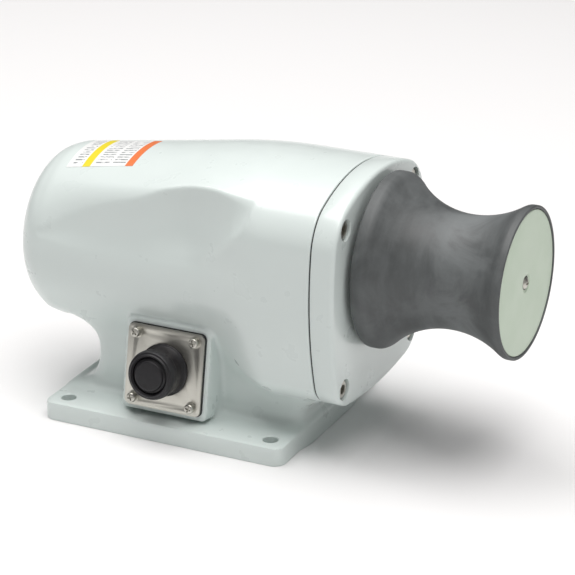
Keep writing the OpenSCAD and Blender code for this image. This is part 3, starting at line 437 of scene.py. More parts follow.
def turned(name, profile, place, segments):
    """A solid turned about an axis from a closed (radius, distance) profile.

    place maps the axis, +Z before it, into the object's frame.
    """
    angles = [2 * math.pi * i / segments for i in range(segments)]
    points, rows = [], []
    for r, a in profile:
        if r < 1e-6:
            rows.append([len(points)] * segments)
            points.append((0, 0, a))
        else:
            rows.append(list(range(len(points), len(points) + segments)))
            points.extend((r * math.cos(t), r * math.sin(t), a) for t in angles)
    faces = []
    for k, row in enumerate(rows):
        after = rows[(k + 1) % len(rows)]
        for i in range(segments):
            j = (i + 1) % segments
            corners = [row[i], row[j], after[j], after[i]]
            corners = [c for n, c in enumerate(corners) if c not in corners[:n]]
            if len(corners) > 2:
                faces.append(corners)
    obj = part(name, points, faces)
    obj.data.transform(place)
    face_outwards(obj)
    return obj


def face_outwards(obj):
    """Turns every face of a closed mesh outwards."""
    shape = bmesh.new()
    shape.from_mesh(obj.data)
    bmesh.ops.recalc_face_normals(shape, faces=shape.faces)
    shape.to_mesh(obj.data)
    shape.free()


def shift(x, y, z=0.0):
    """A move by millimetres."""
    return Matrix.Translation((x * MM, y * MM, z * MM))


def shaft_place(x, z, y=0.0):
    """Place of a part turned about an axis along +X."""
    return shift(x, y, z) @ Matrix.Rotation(math.pi / 2, 4, "Y")


def plug(name, r, start, end, place, segments):
    """A plain round bar along a place's axis, used for cutting."""
    return turned(name, [(0, start), (r, start), (r, end), (0, end)], place, segments)


def rod(name, x0, x1, r, y, z, segments=48):
    """A plain round bar along X, used for cutting."""
    return plug(name, r, 0, x1 - x0, shaft_place(x0, z, y), segments)


def prism(name, outline, a, b, place):
    """A closed prism over an (x, y) outline, between two distances along a place's axis."""
    obj = rings_solid(name, [[(x, y, h) for x, y in outline] for h in (a, b)])
    obj.data.transform(place)
    face_outwards(obj)
    return obj


def block(name, low_corner, high_corner, place=Matrix()):
    """A box between two corners, used for cutting."""
    (x0, y0, z0), (x1, y1, z1) = low_corner, high_corner
    return prism(name, [(x0, y0), (x1, y0), (x1, y1), (x0, y1)], z0, z1, place)


def combine(obj, others, operation):
    """Applies a boolean with each of the other solids, then removes them."""
    for other in others:
        cut = obj.modifiers.new(other.name, "BOOLEAN")
        cut.object = other
        cut.operation = operation
        cut.solver = "MANIFOLD"
    bake_modifiers(obj)
    for other in others:
        bpy.data.objects.remove(other)
    if not obj.data.polygons:
        raise RuntimeError(f"{obj.name} came out of its cuts empty")


def bake_modifiers(obj):
    """Replaces an object's mesh with what its modifiers make of it."""
    bpy.context.view_layer.update()
    seen = obj.evaluated_get(bpy.context.evaluated_depsgraph_get())
    mesh = bpy.data.meshes.new_from_object(seen)
    obj.modifiers.clear()
    obj.data = mesh


def bevel(obj, width, segments):
    """Rounds the sharp edges of an object."""
    soft = obj.modifiers.new("edges", "BEVEL")
    soft.width = width * MM
    soft.segments = segments
    soft.limit_method = "ANGLE"
    soft.angle_limit = math.radians(40)
    soft.harden_normals = False
    bake_modifiers(obj)


def smooth(obj, angle):
    """Smooth shading, with edges sharper than the angle kept."""
    obj.data.shade_smooth()
    obj.data.set_sharp_from_angle(angle=math.radians(angle))


def rounded(profile, radius, steps=4):
    """A closed (radius, distance) profile with its corners rounded, apart from those on the axis."""
    out = []
    count = len(profile)
    for i, here in enumerate(profile):
        before, after = Vector(profile[i - 1]), Vector(profile[(i + 1) % count])
        here = Vector(here)
        one, two = before - here, after - here
        r = min(radius, 0.45 * one.length, 0.45 * two.length)
        if here.x < 1e-6 or r < 1e-6 or abs(one.angle(two) - math.pi) < 0.05:
            out.append(tuple(here))
            continue
        a, b = here + one.normalized() * r, here + two.normalized() * r
        for k in range(steps + 1):
            t = k / steps
            out.append(tuple(a * (1 - t) ** 2 + here * 2 * t * (1 - t) + b * t * t))
    return out


def arc(centre, r, start, end, steps):
    """Points of an arc in a profile, from one angle in degrees to another."""
    return [(centre[0] + r * math.cos(math.radians(start + (end - start) * k / steps)),
             centre[1] + r * math.sin(math.radians(start + (end - start) * k / steps)))
            for k in range(steps + 1)]


def round_rectangle(w, h, r, steps=8):
    """Outline of a rectangle with round corners."""
    points = []
    for cx, cy, start in ((w / 2 - r, h / 2 - r, 0), (r - w / 2, h / 2 - r, 90),
                          (r - w / 2, r - h / 2, 180), (w / 2 - r, r - h / 2, 270)):
        points += arc((cx, cy), r, start, start + 90, steps)
    return points


def finish_piece(obj, body, slot_name, *nodes, angle=35):
    """Gives a new piece its shading, finish, body and the parts that it stands for."""
    smooth(obj, angle)
    obj.data.materials.clear()
    obj.data.materials.append(finish(slot_name))
    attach(obj, body)
    if nodes:
        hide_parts(*nodes)
    return obj


def settings(group):
    """A property group's lengths in millimetres, and its whole numbers."""
    values = {}
    for name in group.__annotations__:
        value = getattr(group, name)
        values[name] = value / MM if isinstance(value, float) else value
    return values


# ---------- finishes ----------

class Finish:
    """A material being built, with its node tree and its shader."""

    def __init__(self, name, base, roughness=0.5, metallic=0.0, **more):
        self.material = bpy.data.materials.new(name)
        self.material.use_nodes = True
        self.tree = self.material.node_tree
        self.shader = self.tree.nodes["Principled BSDF"]
        self.base = tuple(base)
        self.shader.inputs["Base Color"].default_value = (*base, 1)
        self.shader.inputs["Roughness"].default_value = roughness
        self.shader.inputs["Metallic"].default_value = metallic
        for socket, value in more.items():
            self.shader.inputs[socket.replace("_", " ").title().replace("Ior", "IOR")].default_value = value
        self.material.diffuse_color = (*base, 1)
        self.place = self.node("ShaderNodeTexCoord", "Object", {})

    def node(self, kind, output, inputs, **choices):
        """A new node's output. Each input is linked to an output or set to a value."""
        new = self.tree.nodes.new(kind)
        for key, value in choices.items():
            setattr(new, key, value)
        for socket, source in inputs.items():
            self.feed(new.inputs[socket], source)
        return new.outputs[output]

    def feed(self, socket, source):
        """Links an output to an input, or sets the input to a value."""
        if isinstance(source, bpy.types.NodeSocket):
            self.tree.links.new(source, socket)
        else:
            socket.default_value = source

    def noise(self, scale, detail=3.0, rough=0.5, stretch=(1, 1, 1), warp=0.0):
        """Noise with a scale per metre, over coordinates scaled along each axis."""
        place = self.place
        if stretch != (1, 1, 1):
            place = self.node("ShaderNodeMapping", "Vector", {"Vector": place, "Scale": stretch})
        return self.node("ShaderNodeTexNoise", "Fac", {"Vector": place, "Scale": scale, "Detail": detail,
                                                       "Roughness": rough, "Distortion": warp})

    def cells(self, scale):
        """Distance to the nearest of scattered points."""
        return self.node("ShaderNodeTexVoronoi", "Distance", {"Vector": self.place, "Scale": scale})

    def wave(self, kind, axis, scale):
        """Regular BANDS or RINGS along an axis."""
        return self.node("ShaderNodeTexWave", "Fac", {"Vector": self.place, "Scale": scale},
                         wave_type=kind, **{kind.lower() + "_direction": axis})

    def along(self, axis):
        """One object coordinate in metres: X, Y or Z."""
        return self.node("ShaderNodeSeparateXYZ", axis, {"Vector": self.place})

    def maths(self, operation, a, b):
        """Arithmetic on two values."""
        return self.node("ShaderNodeMath", 0, {0: a, 1: b}, operation=operation)

    def within(self, value, low_end, high_end):
        """1 where a value in metres is between two ends in millimetres, else 0."""
        return self.maths("MULTIPLY", self.maths("GREATER_THAN", value, low_end * MM),
                          self.maths("LESS_THAN", value, high_end * MM))

    def between(self, factor, start, end, a, b):
        """Maps a factor from start..end to a..b, smoothly."""
        return self.node("ShaderNodeMapRange", "Result", {"Value": factor, "From Min": start, "From Max": end,
                                                          "To Min": a, "To Max": b},
                         interpolation_type="SMOOTHSTEP")

    def blend(self, factor, a, b):
        """A colour between two colours."""
        a, b = (tint if isinstance(tint, bpy.types.NodeSocket) else (*tint, 1) for tint in (a, b))
        return self.node("ShaderNodeMix", 2, {"Factor": factor, 6: a, 7: b}, data_type="RGBA")

    def shade(self, share):
        """The base colour made lighter or darker."""
        return tuple(min(1.0, c * share) for c in self.base)

    def colour(self, source):
        """Sets the base colour."""
        self.feed(self.shader.inputs["Base Color"], source)

    def roughness(self, source):
        """Sets the roughness."""
        self.feed(self.shader.inputs["Roughness"], source)

    def relief(self, height, distance, strength):
        """Fine surface relief, with its depth in metres."""
        bump = {"Height": height, "Distance": distance, "Strength": strength}
        self.feed(self.shader.inputs["Normal"], self.node("ShaderNodeBump", "Normal", bump))

    def dress(self, mix, shades, wear, gloss, grain, depth, strength, spread=(0.3, 0.7)):
        """Two shades of the base colour, a range of roughness and a relief, each over its pattern."""
        dark, light = shades
        self.colour(self.blend(mix, self.shade(dark), self.shade(light)))
        self.roughness(self.between(wear, *spread, *gloss))
        self.relief(grain, depth, strength)
        return self.material


def gloss_paint(name):
    """Gloss powder coat: faint clouds, orange peel and a clear top film."""
    made = Finish(name, colours().paint, 0.3, coat_weight=0.35, coat_roughness=0.14)
    return made.dress(made.noise(9, 3), (0.975, 1.02), made.noise(60, 3), (0.27, 0.36),
                      made.noise(700, 1), 0.00002, 0.15)


def drum_coat(name):
    """Matte hard coat over turned metal, mottled and rubbed lighter where the rope runs."""
    made = Finish(name, colours().drum, 0.6)
    clouds = made.noise(30, 9, 0.62, warp=0.6)
    streaks = made.noise(70, 6, 0.6, stretch=(1, 0.18, 0.18))
    rings = made.noise(1, 3, 0.6, stretch=(950, 6, 6))
    coat = made.blend(made.between(clouds, 0.3, 0.72, 0, 1), made.shade(0.72), made.shade(1.32))
    coat = made.blend(made.between(streaks, 0.42, 0.75, 0, 0.4), coat, made.shade(1.9))
    place = made.along("X")
    mid = (DRUM_X + DRUM_END_X) / 2 * MM
    worn = made.maths("MULTIPLY", made.between(place, mid - 0.018, mid + 0.012, 0, 1),
                      made.between(place, mid + 0.020, mid + 0.042, 1, 0))
    worn = made.maths("MULTIPLY", worn, made.between(clouds, 0.36, 0.66, 0.1, 0.75))
    made.colour(made.blend(worn, coat, made.shade(2.1)))
    made.roughness(made.between(clouds, 0.3, 0.7, 0.46, 0.66))
    made.relief(made.maths("ADD", made.maths("MULTIPLY", rings, 0.5), made.noise(520, 4)), 0.00009, 0.35)
    return made.material


def end_disc(name):
    """Pale satin disc with fine moulded grain."""
    made = Finish(name, colours().disc, 0.35)
    return made.dress(made.noise(16, 3), (0.95, 1.05), made.noise(70, 4), (0.3, 0.42),
                      made.noise(900, 2), 0.00004, 0.2)


def brushed_steel(name):
    """Stainless steel brushed along the plate's width."""
    made = Finish(name, colours().steel, 0.36, 1.0)
    grain = made.noise(1, 4, 0.6, stretch=(60, 2600, 2600))
    return made.dress(grain, (0.88, 1.12), grain, (0.3, 0.46), grain, 0.00002, 0.3)


def soft_rubber(name):
    """Black rubber with a fine matte grain and a dusty bloom."""
    made = Finish(name, colours().rubber, 0.5, specular_ior_level=0.45)
    return made.dress(made.noise(140, 5), (0.7, 1.9), made.noise(300, 3), (0.4, 0.58),
                      made.noise(1500, 2), 0.00005, 0.3)


def cast_plastic(name):
    """Moulded plastic with a spark-eroded grain."""
    made = Finish(name, (0.03, 0.03, 0.032), 0.45)
    return made.dress(made.noise(80, 4), (0.8, 1.4), made.noise(200, 3), (0.4, 0.55),
                      made.cells(1400), 0.00004, 0.3)


def machined(name, base, low_rough, high_rough, marks):
    """Turned or milled metal with fine tool marks along X."""
    made = Finish(name, base, low_rough, 1.0)
    tool = made.noise(1, 3, 0.6, stretch=(marks, 14, 14))
    stain = made.between(made.noise(45, 5), 0.35, 0.7, 0, 1)
    return made.dress(stain, (0.82, 1.1), tool, (low_rough, high_rough), tool, 0.00003, 0.3)


def sheet_stack(name):
    """Stacked electrical steel: a dark line at each joint between sheets."""
    made = Finish(name, (0.45, 0.45, 0.46), 0.4, 1.0)
    lines = made.wave("BANDS", "X", 320)
    return made.dress(lines, (0.5, 1.1), made.noise(120, 4), (0.34, 0.5), lines, 0.0001, 0.4)


def wound_copper(name):
    """Enamelled copper wire laid in rows."""
    made = Finish(name, (0.55, 0.23, 0.1), 0.3, 1.0, coat_weight=0.5, coat_roughness=0.15)
    wires = made.wave("RINGS", "X", 260)
    return made.dress(wires, (0.55, 1.25), made.noise(150, 3), (0.25, 0.4), wires, 0.0002, 0.5)


def stamped_brass(name):
    """Stamped brass with a light tarnish."""
    made = Finish(name, (0.68, 0.47, 0.18), 0.3, 1.0)
    tarnish = made.noise(110, 5)
    return made.dress(made.between(tarnish, 0.35, 0.7, 0, 1), (0.7, 1.1), tarnish, (0.24, 0.45),
                      made.noise(900, 2), 0.00003, 0.25)


def gritty(name, base, rough):
    """Pressed or sintered material with fine grit."""
    made = Finish(name, base, rough)
    grit = made.cells(1100)
    return made.dress(made.noise(160, 6), (0.75, 1.3), grit, (rough - 0.08, rough + 0.1),
                      grit, 0.00006, 0.35, spread=(0.1, 0.6))


# The label on the roof: its place, and its rules and bands measured from its rear end
LABEL_START, LABEL_LENGTH = -91, 50
LABEL_NEAR, LABEL_FAR = -29, 12
LABEL_RULES = [(3.5, 10.5), (20.5, 31), (33.5, 43)]
LABEL_BANDS = [(12, 18, (0.82, 0.68, 0.03)), (44.3, 50, (0.80, 0.20, 0.06))]


def label_print(name):
    """White film printed with plain bands of colour and thin rules."""
    made = Finish(name, (0.84, 0.85, 0.84), 0.35, coat_weight=0.3, coat_roughness=0.2)
    place, across = made.along("X"), made.along("Y")
    film = made.blend(made.noise(60, 3), made.shade(0.97), made.shade(1.03))
    rules = made.between(made.wave("BANDS", "Y", 105), 0.62, 0.7, 0, 1)
    broken = made.between(made.noise(1, 2, 0.5, stretch=(260, 900, 900)), 0.42, 0.5, 0, 1)
    ink = made.maths("MULTIPLY", rules, broken)
    margin = made.within(across, LABEL_NEAR + 3, LABEL_FAR - 2)
    for begin, end in LABEL_RULES:
        inside = made.maths("MULTIPLY", made.within(place, LABEL_START + begin, LABEL_START + end), margin)
        film = made.blend(made.maths("MULTIPLY", ink, inside), film, (0.25, 0.27, 0.28))
    for begin, end, tint in LABEL_BANDS:
        film = made.blend(made.within(place, LABEL_START + begin, LABEL_START + end), film, tint)
    made.colour(film)
    made.roughness(made.between(made.noise(200, 3), 0.3, 0.7, 0.3, 0.42))
    made.relief(made.noise(700, 2), 0.00003, 0.2)
    return made.material


def floor_finish(name):
    """Pale studio floor."""
    made = Finish(name, colours().floor, 0.75, specular_ior_level=0.2)
    made.colour(made.blend(made.noise(3, 2), made.shade(0.995), made.shade(1.0)))
    return made.material


FINISHES = {
    "white_paint": gloss_paint,
    "drum_coat": drum_coat,
    "end_disc": end_disc,
    "stainless": brushed_steel,
    "black_rubber": soft_rubber,
    "black_plastic": cast_plastic,
    "bare_aluminium": lambda name: machined(name, (0.62, 0.63, 0.64), 0.32, 0.5, 700),
    "gear_steel": lambda name: machined(name, (0.33, 0.34, 0.36), 0.25, 0.42, 1500),
    "bearing_steel": lambda name: machined(name, (0.62, 0.63, 0.65), 0.08, 0.2, 2200),
    "black_steel": lambda name: machined(name, (0.06, 0.06, 0.065), 0.35, 0.52, 900),
    "magnet": lambda name: gritty(name, (0.09, 0.09, 0.095), 0.62),
    "lamination_steel": sheet_stack,
    "copper": wound_copper,
    "brass": stamped_brass,
    "graphite": lambda name: gritty(name, (0.04, 0.04, 0.043), 0.5),
    "label_film": label_print,
}


def finish(slot_name):
    """The material of one of the record's slots, made once."""
    name = "finish_" + slot_name
    return bpy.data.materials.get(name) or FINISHES[slot_name](name)


def colours():
    """The scene's colour settings."""
    return bpy.context.scene.windlass_colours


# ---------- the pieces ----------

CAVITY_WALL, BOSS_R, MOTOR_BORE_R, GEAR_WELL_R = 5, 9, 52.9, 40
UPPER_ROOM_HALF, LOWER_ROOM_HALF, LOWER_ROOM_Z = 43, 35, 20
MOUNT_X, MOUNT_Y, HOLE_CHAMFER = 75, 62.5, 0.6
SWITCH_WELL_R, SWITCH_WELL_DEPTH = 16, 32
WIRE_PASSAGE_X, WIRE_PASSAGE_R = -36, 7
COVER_BOLTS = [(side * y, z) for y, z in ((53.7, 161.4), (53.4, 53.2)) for side in (-1, 1)]
BOLT_R, BOLT_HOLE_R, BOLT_HEAD_R, COUNTERBORE_R = 4, 4.05, 5.9, 7.1
BOLT_SEAT_X = COVER_FRONT_X - 9.5


def switch_place():
    """Where the switch face is and which way it leans, in millimetres and as a matrix."""
    switch = settings(bpy.context.scene.windlass_switch)
    low_corner, high_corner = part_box("switch_plate")
    normal = -PRESS_AXIS.normalized()
    across = Vector((1, 0, 0))
    up = normal.cross(across)
    middle = (low_corner + high_corner) / 2
    origin = middle - normal * (switch["gasket_thickness"] + switch["plate_thickness"] / 2) * MM
    matrix = Matrix.Translation(origin) @ Matrix((across, up, normal)).transposed().to_4x4()
    return {"origin": tuple(origin / MM), "normal": tuple(normal), "up": tuple(up), "matrix": matrix,
            "width": switch["plate_width"], "height": switch["plate_height"]}


def outline_solid(name, steps, count=240):
    """A solid through case outlines given as (x, inset)."""
    angles = np.linspace(0, 2 * math.pi, count, endpoint=False)
    elevations = np.arctan2(np.sin(angles), np.abs(np.cos(angles)))
    rings = [[(x, r * math.cos(t), BARREL_Z + r * math.sin(t))
              for r, t in zip(outline_radius(elevations, inset), angles)] for x, inset in steps]
    obj = rings_solid(name, rings)
    face_outwards(obj)
    return obj


def quarter_round(x, r, count=6):
    """(x, inset) steps of a rounded edge that ends at x."""
    return [(x - r + r * math.sin(math.pi / 2 * k / count), r - r * math.cos(math.pi / 2 * k / count))
            for k in range(count + 1)]


def build_housing():
    """Housing: smooth casting with its seam face, cavities and holes."""
    sizes = settings(bpy.context.scene.windlass_castings)
    place = switch_place()
    spare, below = 3, 4

    def outer(x, y, z):
        """The skin's field, ended past the seam and below the base, where it is trimmed later."""
        whole = housing_field(x, y, z, sizes, place)
        return np.maximum(np.maximum(whole, x - SEAM_X - spare), -z - below)

    margin = 3.1 * sizes["skin_step"]
    low_corner = (sizes["barrel_end"] - margin, -BASE_Y - margin, -below - margin)
    high_corner = (SEAM_X + spare + margin, BASE_Y + margin, high("front_cover", 2) + margin)
    housing = part("windlass_housing", *skin(outer, low_corner, high_corner, sizes["skin_step"]))
    face_outwards(housing)

    # Kept whole as far as X 92, then trimmed more and more closely to the case outline at the seam
    rim = [(-140, -90), (92, -90), (103, -3), (104.5, -0.4)] + quarter_round(SEAM_X, 0.9, 4)
    combine(housing, [outline_solid("keep", rim)], "INTERSECT")
    combine(housing, housing_cutters(sizes, place), "DIFFERENCE")
    return finish_piece(housing, "frame", "white_paint", "housing")


def housing_cutters(sizes, place):
    """The solids that are taken out of the housing casting."""
    plate_x, motor_x = low("center_plate", 0), low("motor_plate", 0)
    front = outline_solid("front_cavity", [(plate_x, CAVITY_WALL), (SEAM_X + 2, CAVITY_WALL)])
    bosses = [rod(f"boss_{i}", plate_x - 1, SEAM_X + 3, BOSS_R, y, z) for i, (y, z) in enumerate(COVER_BOLTS)]
    combine(front, bosses, "DIFFERENCE")
    start, end = motor_x, plate_x + 1
    rear = rod("rear_cavity", start, end, MOTOR_BORE_R, 0, BARREL_Z, 96)
    rooms = [rod("gear_well", start, end, GEAR_WELL_R, 0, LAYSHAFT_Z, 96),
             block("upper_room", (start, -UPPER_ROOM_HALF, BARREL_Z), (end, UPPER_ROOM_HALF, 200)),
             block("lower_room", (start, -LOWER_ROOM_HALF, LOWER_ROOM_Z), (end, LOWER_ROOM_HALF, BARREL_Z))]
    combine(rear, rooms, "UNION")
    limit = outline_solid("limit", [(motor_x - 1, 2 * CAVITY_WALL), (plate_x + 2, 2 * CAVITY_WALL)])
    combine(rear, [limit], "INTERSECT")
    top, r = sizes["base_thickness"], sizes["hole_radius"]
    mouth = r + HOLE_CHAMFER
    hole = [(0, -1), (r, -1), (r, top - HOLE_CHAMFER), (mouth, top), (mouth, top + 1), (0, top + 1)]
    holes = [turned(f"hole_{x}_{y}", hole, shift(x * MOUNT_X, y * MOUNT_Y), 64)
             for x in (-1, 1) for y in (-1, 1)]
    return [block("under", (-150, -120, -20), (150, 120, 0)), front, rear,
            rod("motor_bore", -98, motor_x + 1, MOTOR_BORE_R, 0, BARREL_Z, 96),
            block("pocket", (-48, -34, -1), (72, 34, 45)),
            block("recess", (-57, -43, -1), (81, 43, 6.5)),
            plug("switch_well", SWITCH_WELL_R, -SWITCH_WELL_DEPTH, 2, place["matrix"], 96),
            plug("wire_passage", WIRE_PASSAGE_R, 30, 70, shift(WIRE_PASSAGE_X, 0), 48)] + holes


def build_front_cover():
    """Front cover: one casting with a rounded face, counterbores and bearing bosses."""
    sizes = settings(bpy.context.scene.windlass_castings)
    steps = [(COVER_BACK_X + a, inset) for a, inset in ((0, 0.9), (0.25, 0.4), (0.9, 0))]
    cover = outline_solid("windlass_front_cover", steps + quarter_round(COVER_FRONT_X, sizes["cover_round"]))
    bosses = [rod("output_boss", COVER_BACK_X - 4, COVER_BACK_X + 1, 30, 0, SHAFT_Z, 96),
              rod("layshaft_boss", COVER_BACK_X - 4, COVER_BACK_X + 1, 19, 0, LAYSHAFT_Z, 96)]
    combine(cover, bosses, "UNION")
    cutters = [rod("bearing_seat", COVER_BACK_X - 5, COVER_BACK_X + 9, 23.5, 0, SHAFT_Z, 128),
               rod("seal_seat", COVER_BACK_X + 8, COVER_FRONT_X + 1, 21, 0, SHAFT_Z, 128),
               rod("layshaft_seat", COVER_BACK_X - 5, COVER_BACK_X + 8, 14, 0, LAYSHAFT_Z, 96)]
    back, front, mouth = COVER_BACK_X - 1, COVER_FRONT_X + 1, COUNTERBORE_R + 0.2
    bore = [(0, back), (BOLT_HOLE_R, back), (BOLT_HOLE_R, BOLT_SEAT_X), (COUNTERBORE_R, BOLT_SEAT_X),
            (COUNTERBORE_R, COVER_FRONT_X - 0.2), (mouth, COVER_FRONT_X), (mouth, front), (0, front)]
    cutters += [turned(f"counterbore_{i}", bore, shaft_place(0, z, y), 64)
                for i, (y, z) in enumerate(COVER_BOLTS)]
    combine(cover, cutters, "DIFFERENCE")
    return finish_piece(cover, "frame", "white_paint", "front_cover")


def build_cover_gasket():
    """Thin black gasket that shows as a line between the housing and the cover."""
    steps = [(SEAM_X, 1.0), (SEAM_X + 0.2, 0.8), (COVER_BACK_X - 0.2, 0.8), (COVER_BACK_X, 1.0)]
    gasket = outline_solid("windlass_cover_gasket", steps)
    start, end = SEAM_X - 1, COVER_BACK_X + 1
    inner = outline_solid("gasket_hole", [(start, 5.5), (end, 5.5)])
    holes = [rod(f"gasket_hole_{i}", start, end, 4.2, y, z, 32) for i, (y, z) in enumerate(COVER_BOLTS)]
    combine(gasket, [inner] + holes, "DIFFERENCE")
    return finish_piece(gasket, "frame", "black_rubber", "cover_gasket")


def build_cover_bolts():
    """Four socket-head cap screws in the cover's counterbores."""
    tip, top = COVER_BACK_X - 16, BOLT_SEAT_X + 8
    profile = rounded([(0, top), (BOLT_HEAD_R, top), (BOLT_HEAD_R, BOLT_SEAT_X), (BOLT_R, BOLT_SEAT_X),
                       (BOLT_R, tip), (0, tip)], 0.9)
    bolts = []
    for i, (y, z) in enumerate(COVER_BOLTS):
        place = shaft_place(0, z, y)
        bolt = turned(f"bolt_{i}", profile, place, 64)
        combine(bolt, [plug(f"socket_{i}", 3.6, BOLT_SEAT_X + 3, top + 1, place, 6)], "DIFFERENCE")
        bolts.append(bolt)
    return finish_piece(joined("windlass_cover_bolts", bolts), "frame", "stainless", "cover_bolts")


def joined(name, pieces):
    """One object from several."""
    bpy.ops.object.select_all(action="DESELECT")
    for piece in pieces:
        piece.select_set(True)
    bpy.context.view_layer.objects.active = pieces[0]
    bpy.ops.object.join()
    pieces[0].name = name
    pieces[0].data.name = name
    return pieces[0]


def build_drum():
    """Warping drum: a turned casting, hollow behind and at its end."""
    sizes = settings(bpy.context.scene.windlass_drum)
    flange, waist, rim = sizes["flange_radius"], sizes["waist_radius"], sizes["rim_radius"]
    waist_at, long = sizes["waist_place"], DRUM_END_X - DRUM_X
    band, rim_at = sizes["flange_band"], long - sizes["rim_band"]
    disc = cap_radius() + 0.3
    bore, hub_r, end_room = 11, 22, waist - 8

    def swept(near_r, near_a):
        """Arc from the waist to a shoulder, level at the waist."""
        run, rise = near_a - waist_at, near_r - waist
        r = (run * run + rise * rise) / (2 * rise)
        turn = math.degrees(math.asin(run / r))
        return arc((waist + r, waist_at), r, 180, 180 - turn, 22)

    inner, outer = swept(flange, band), swept(rim, rim_at)
    profile = [(bore, 0), (hub_r, 0), (hub_r, waist_at - 20), (waist - 5, waist_at - 20), (flange - 8, 6),
               (flange - 8, 0), (flange, 0), (flange, band - 1.2)]
    profile += inner[::-1][1:] + outer[1:-1]
    profile += [(rim, rim_at + 0.6), (rim, long), (disc, long), (disc, long - 3), (end_room, long - 3),
                (end_room, long - 18), (bore, long - 18)]
    drum = turned("windlass_drum", rounded(profile, 1.6), shaft_place(DRUM_X, SHAFT_Z), sizes["segments"])
    return finish_piece(drum, "drum", "drum_coat", "drum", angle=40)


def cap_radius():
    """Radius of the disc in the drum's end."""
    return (high("drum_cap", 2) - low("drum_cap", 2)) / 2


def build_drum_cap():
    """Pale disc that closes the drum's end, and its screw."""
    r, back = cap_radius(), low("drum_cap", 0)
    front = high("drum_cap", 0) - back
    face = front - 0.7
    profile = [(2.6, 0), (r, 0), (r, front), (6.2, front), (5.4, face), (2.6, face)]
    cap = turned("windlass_drum_cap", rounded(profile, 0.5), shaft_place(back, SHAFT_Z), 160)
    finish_piece(cap, "drum", "end_disc", "drum_cap")
    dome = arc((0, face - 3.3), 5.2, 90, 28, 8)
    head = dome + [(4.6, face), (2.5, face), (2.5, -12), (0, -12)]
    screw = turned("windlass_cap_screw", head, shaft_place(back, SHAFT_Z), 48)
    cut_cross(screw, shaft_place(back + face, SHAFT_Z), 2.2, 0.5, 0.9, 3.5)
    finish_piece(screw, "drum", "stainless", "drum_cap_screw")
    return cap


def cut_cross(screw, place, arm, slot, bottom, top):
    """Cuts a cross recess into a screw's head."""
    bars = [block("bar", (-a, -b, bottom), (a, b, top), place) for a, b in ((arm, slot), (slot, arm))]
    combine(screw, bars, "DIFFERENCE")


def build_label():
    """Film on the rear of the roof, following its surface."""
    sizes = settings(bpy.context.scene.windlass_castings)
    across = np.linspace(LABEL_NEAR, LABEL_FAR, 27)
    along = np.linspace(LABEL_START, LABEL_START + LABEL_LENGTH, 33)
    x, y = np.meshgrid(along, across, indexing="ij")
    z = np.full_like(x, high("front_cover", 2) + 5)
    for _ in range(40):
        z = z - body_field(x, y, z, sizes)
    flat = np.stack([x.ravel(), y.ravel(), z.ravel()], 1)
    slope = slopes(lambda a, b, c: body_field(a, b, c, sizes), flat)
    slope /= np.linalg.norm(slope, axis=1)[:, None]
    points = np.concatenate([flat + 0.22 * slope, flat - 0.3 * slope])
    n = len(flat)
    index = np.arange(n).reshape(x.shape)
    top = np.stack([index[:-1, :-1], index[1:, :-1], index[1:, 1:], index[:-1, 1:]], -1).reshape(-1, 4)
    edge = np.concatenate([index[:, 0], index[-1, 1:], index[-2::-1, -1], index[0, -2:0:-1]])
    after = np.roll(edge, -1)
    side = np.stack([edge, edge + n, after + n, after], 1)
    label = part("windlass_label", points, np.concatenate([top, top[:, ::-1] + n, side]))
    face_outwards(label)
    return finish_piece(label, "frame", "label_film", "label")


def build_switch_plate():
    """Rubber gasket, brushed plate and its four screws on the leaning face."""
    switch = settings(bpy.context.scene.windlass_switch)
    place = switch_place()["matrix"]
    w, h, corner = switch["plate_width"], switch["plate_height"], switch["plate_corner"]
    under = switch["gasket_thickness"]
    top = under + switch["plate_thickness"]
    spots = [place @ shift(x * switch["screw_spacing_x"] / 2, y * switch["screw_spacing_y"] / 2)
             for x in (-1, 1) for y in (-1, 1)]

    def cut_holes(piece, middle_r, r):
        """Cuts the middle hole and the screw holes."""
        cutters = [plug("middle_hole", middle_r, -3, 6, place, 64)]
        cutters += [plug(f"screw_hole_{i}", r, -3, 6, spot, 32) for i, spot in enumerate(spots)]
        combine(piece, cutters, "DIFFERENCE")

    gasket = prism("windlass_switch_gasket", round_rectangle(w + 0.8, h + 0.8, corner), 0, under, place)
    cut_holes(gasket, 16, 2.5)
    finish_piece(gasket, "frame", "black_rubber", "switch_gasket")
    plate = prism("windlass_switch_plate", round_rectangle(w, h, corner), under, top, place)
    cut_holes(plate, 12.05, 2.05)
    bevel(plate, 0.25, 2)
    finish_piece(plate, "frame", "stainless", "switch_plate")

    profile = [(0, 4.4)] + arc((2.1, 3.2), 1.2, 90, 0, 6)[:-1] + [
        (3.3, 3.0), (3.3, 1.7), (3.0, 1.65), (3.0, 1.55), (3.5, 1.5), (3.5, 0.75), (3.1, 0.72),
        (4, 0.6), (4, 0), (2, 0), (2, -10), (0, -10)]
    screws = []
    for i, spot in enumerate(spots):
        seat = spot @ shift(0, 0, top) @ Matrix.Rotation(0.5 * i + 0.3, 4, "Z")
        screw = turned(f"screw_{i}", profile, seat, 48)
        cut_cross(screw, seat, 2.0, 0.45, 3.1, 5)
        screws.append(screw)
    finish_piece(joined("windlass_switch_screws", screws), "frame", "stainless", "switch_plate_screws")
    return plate


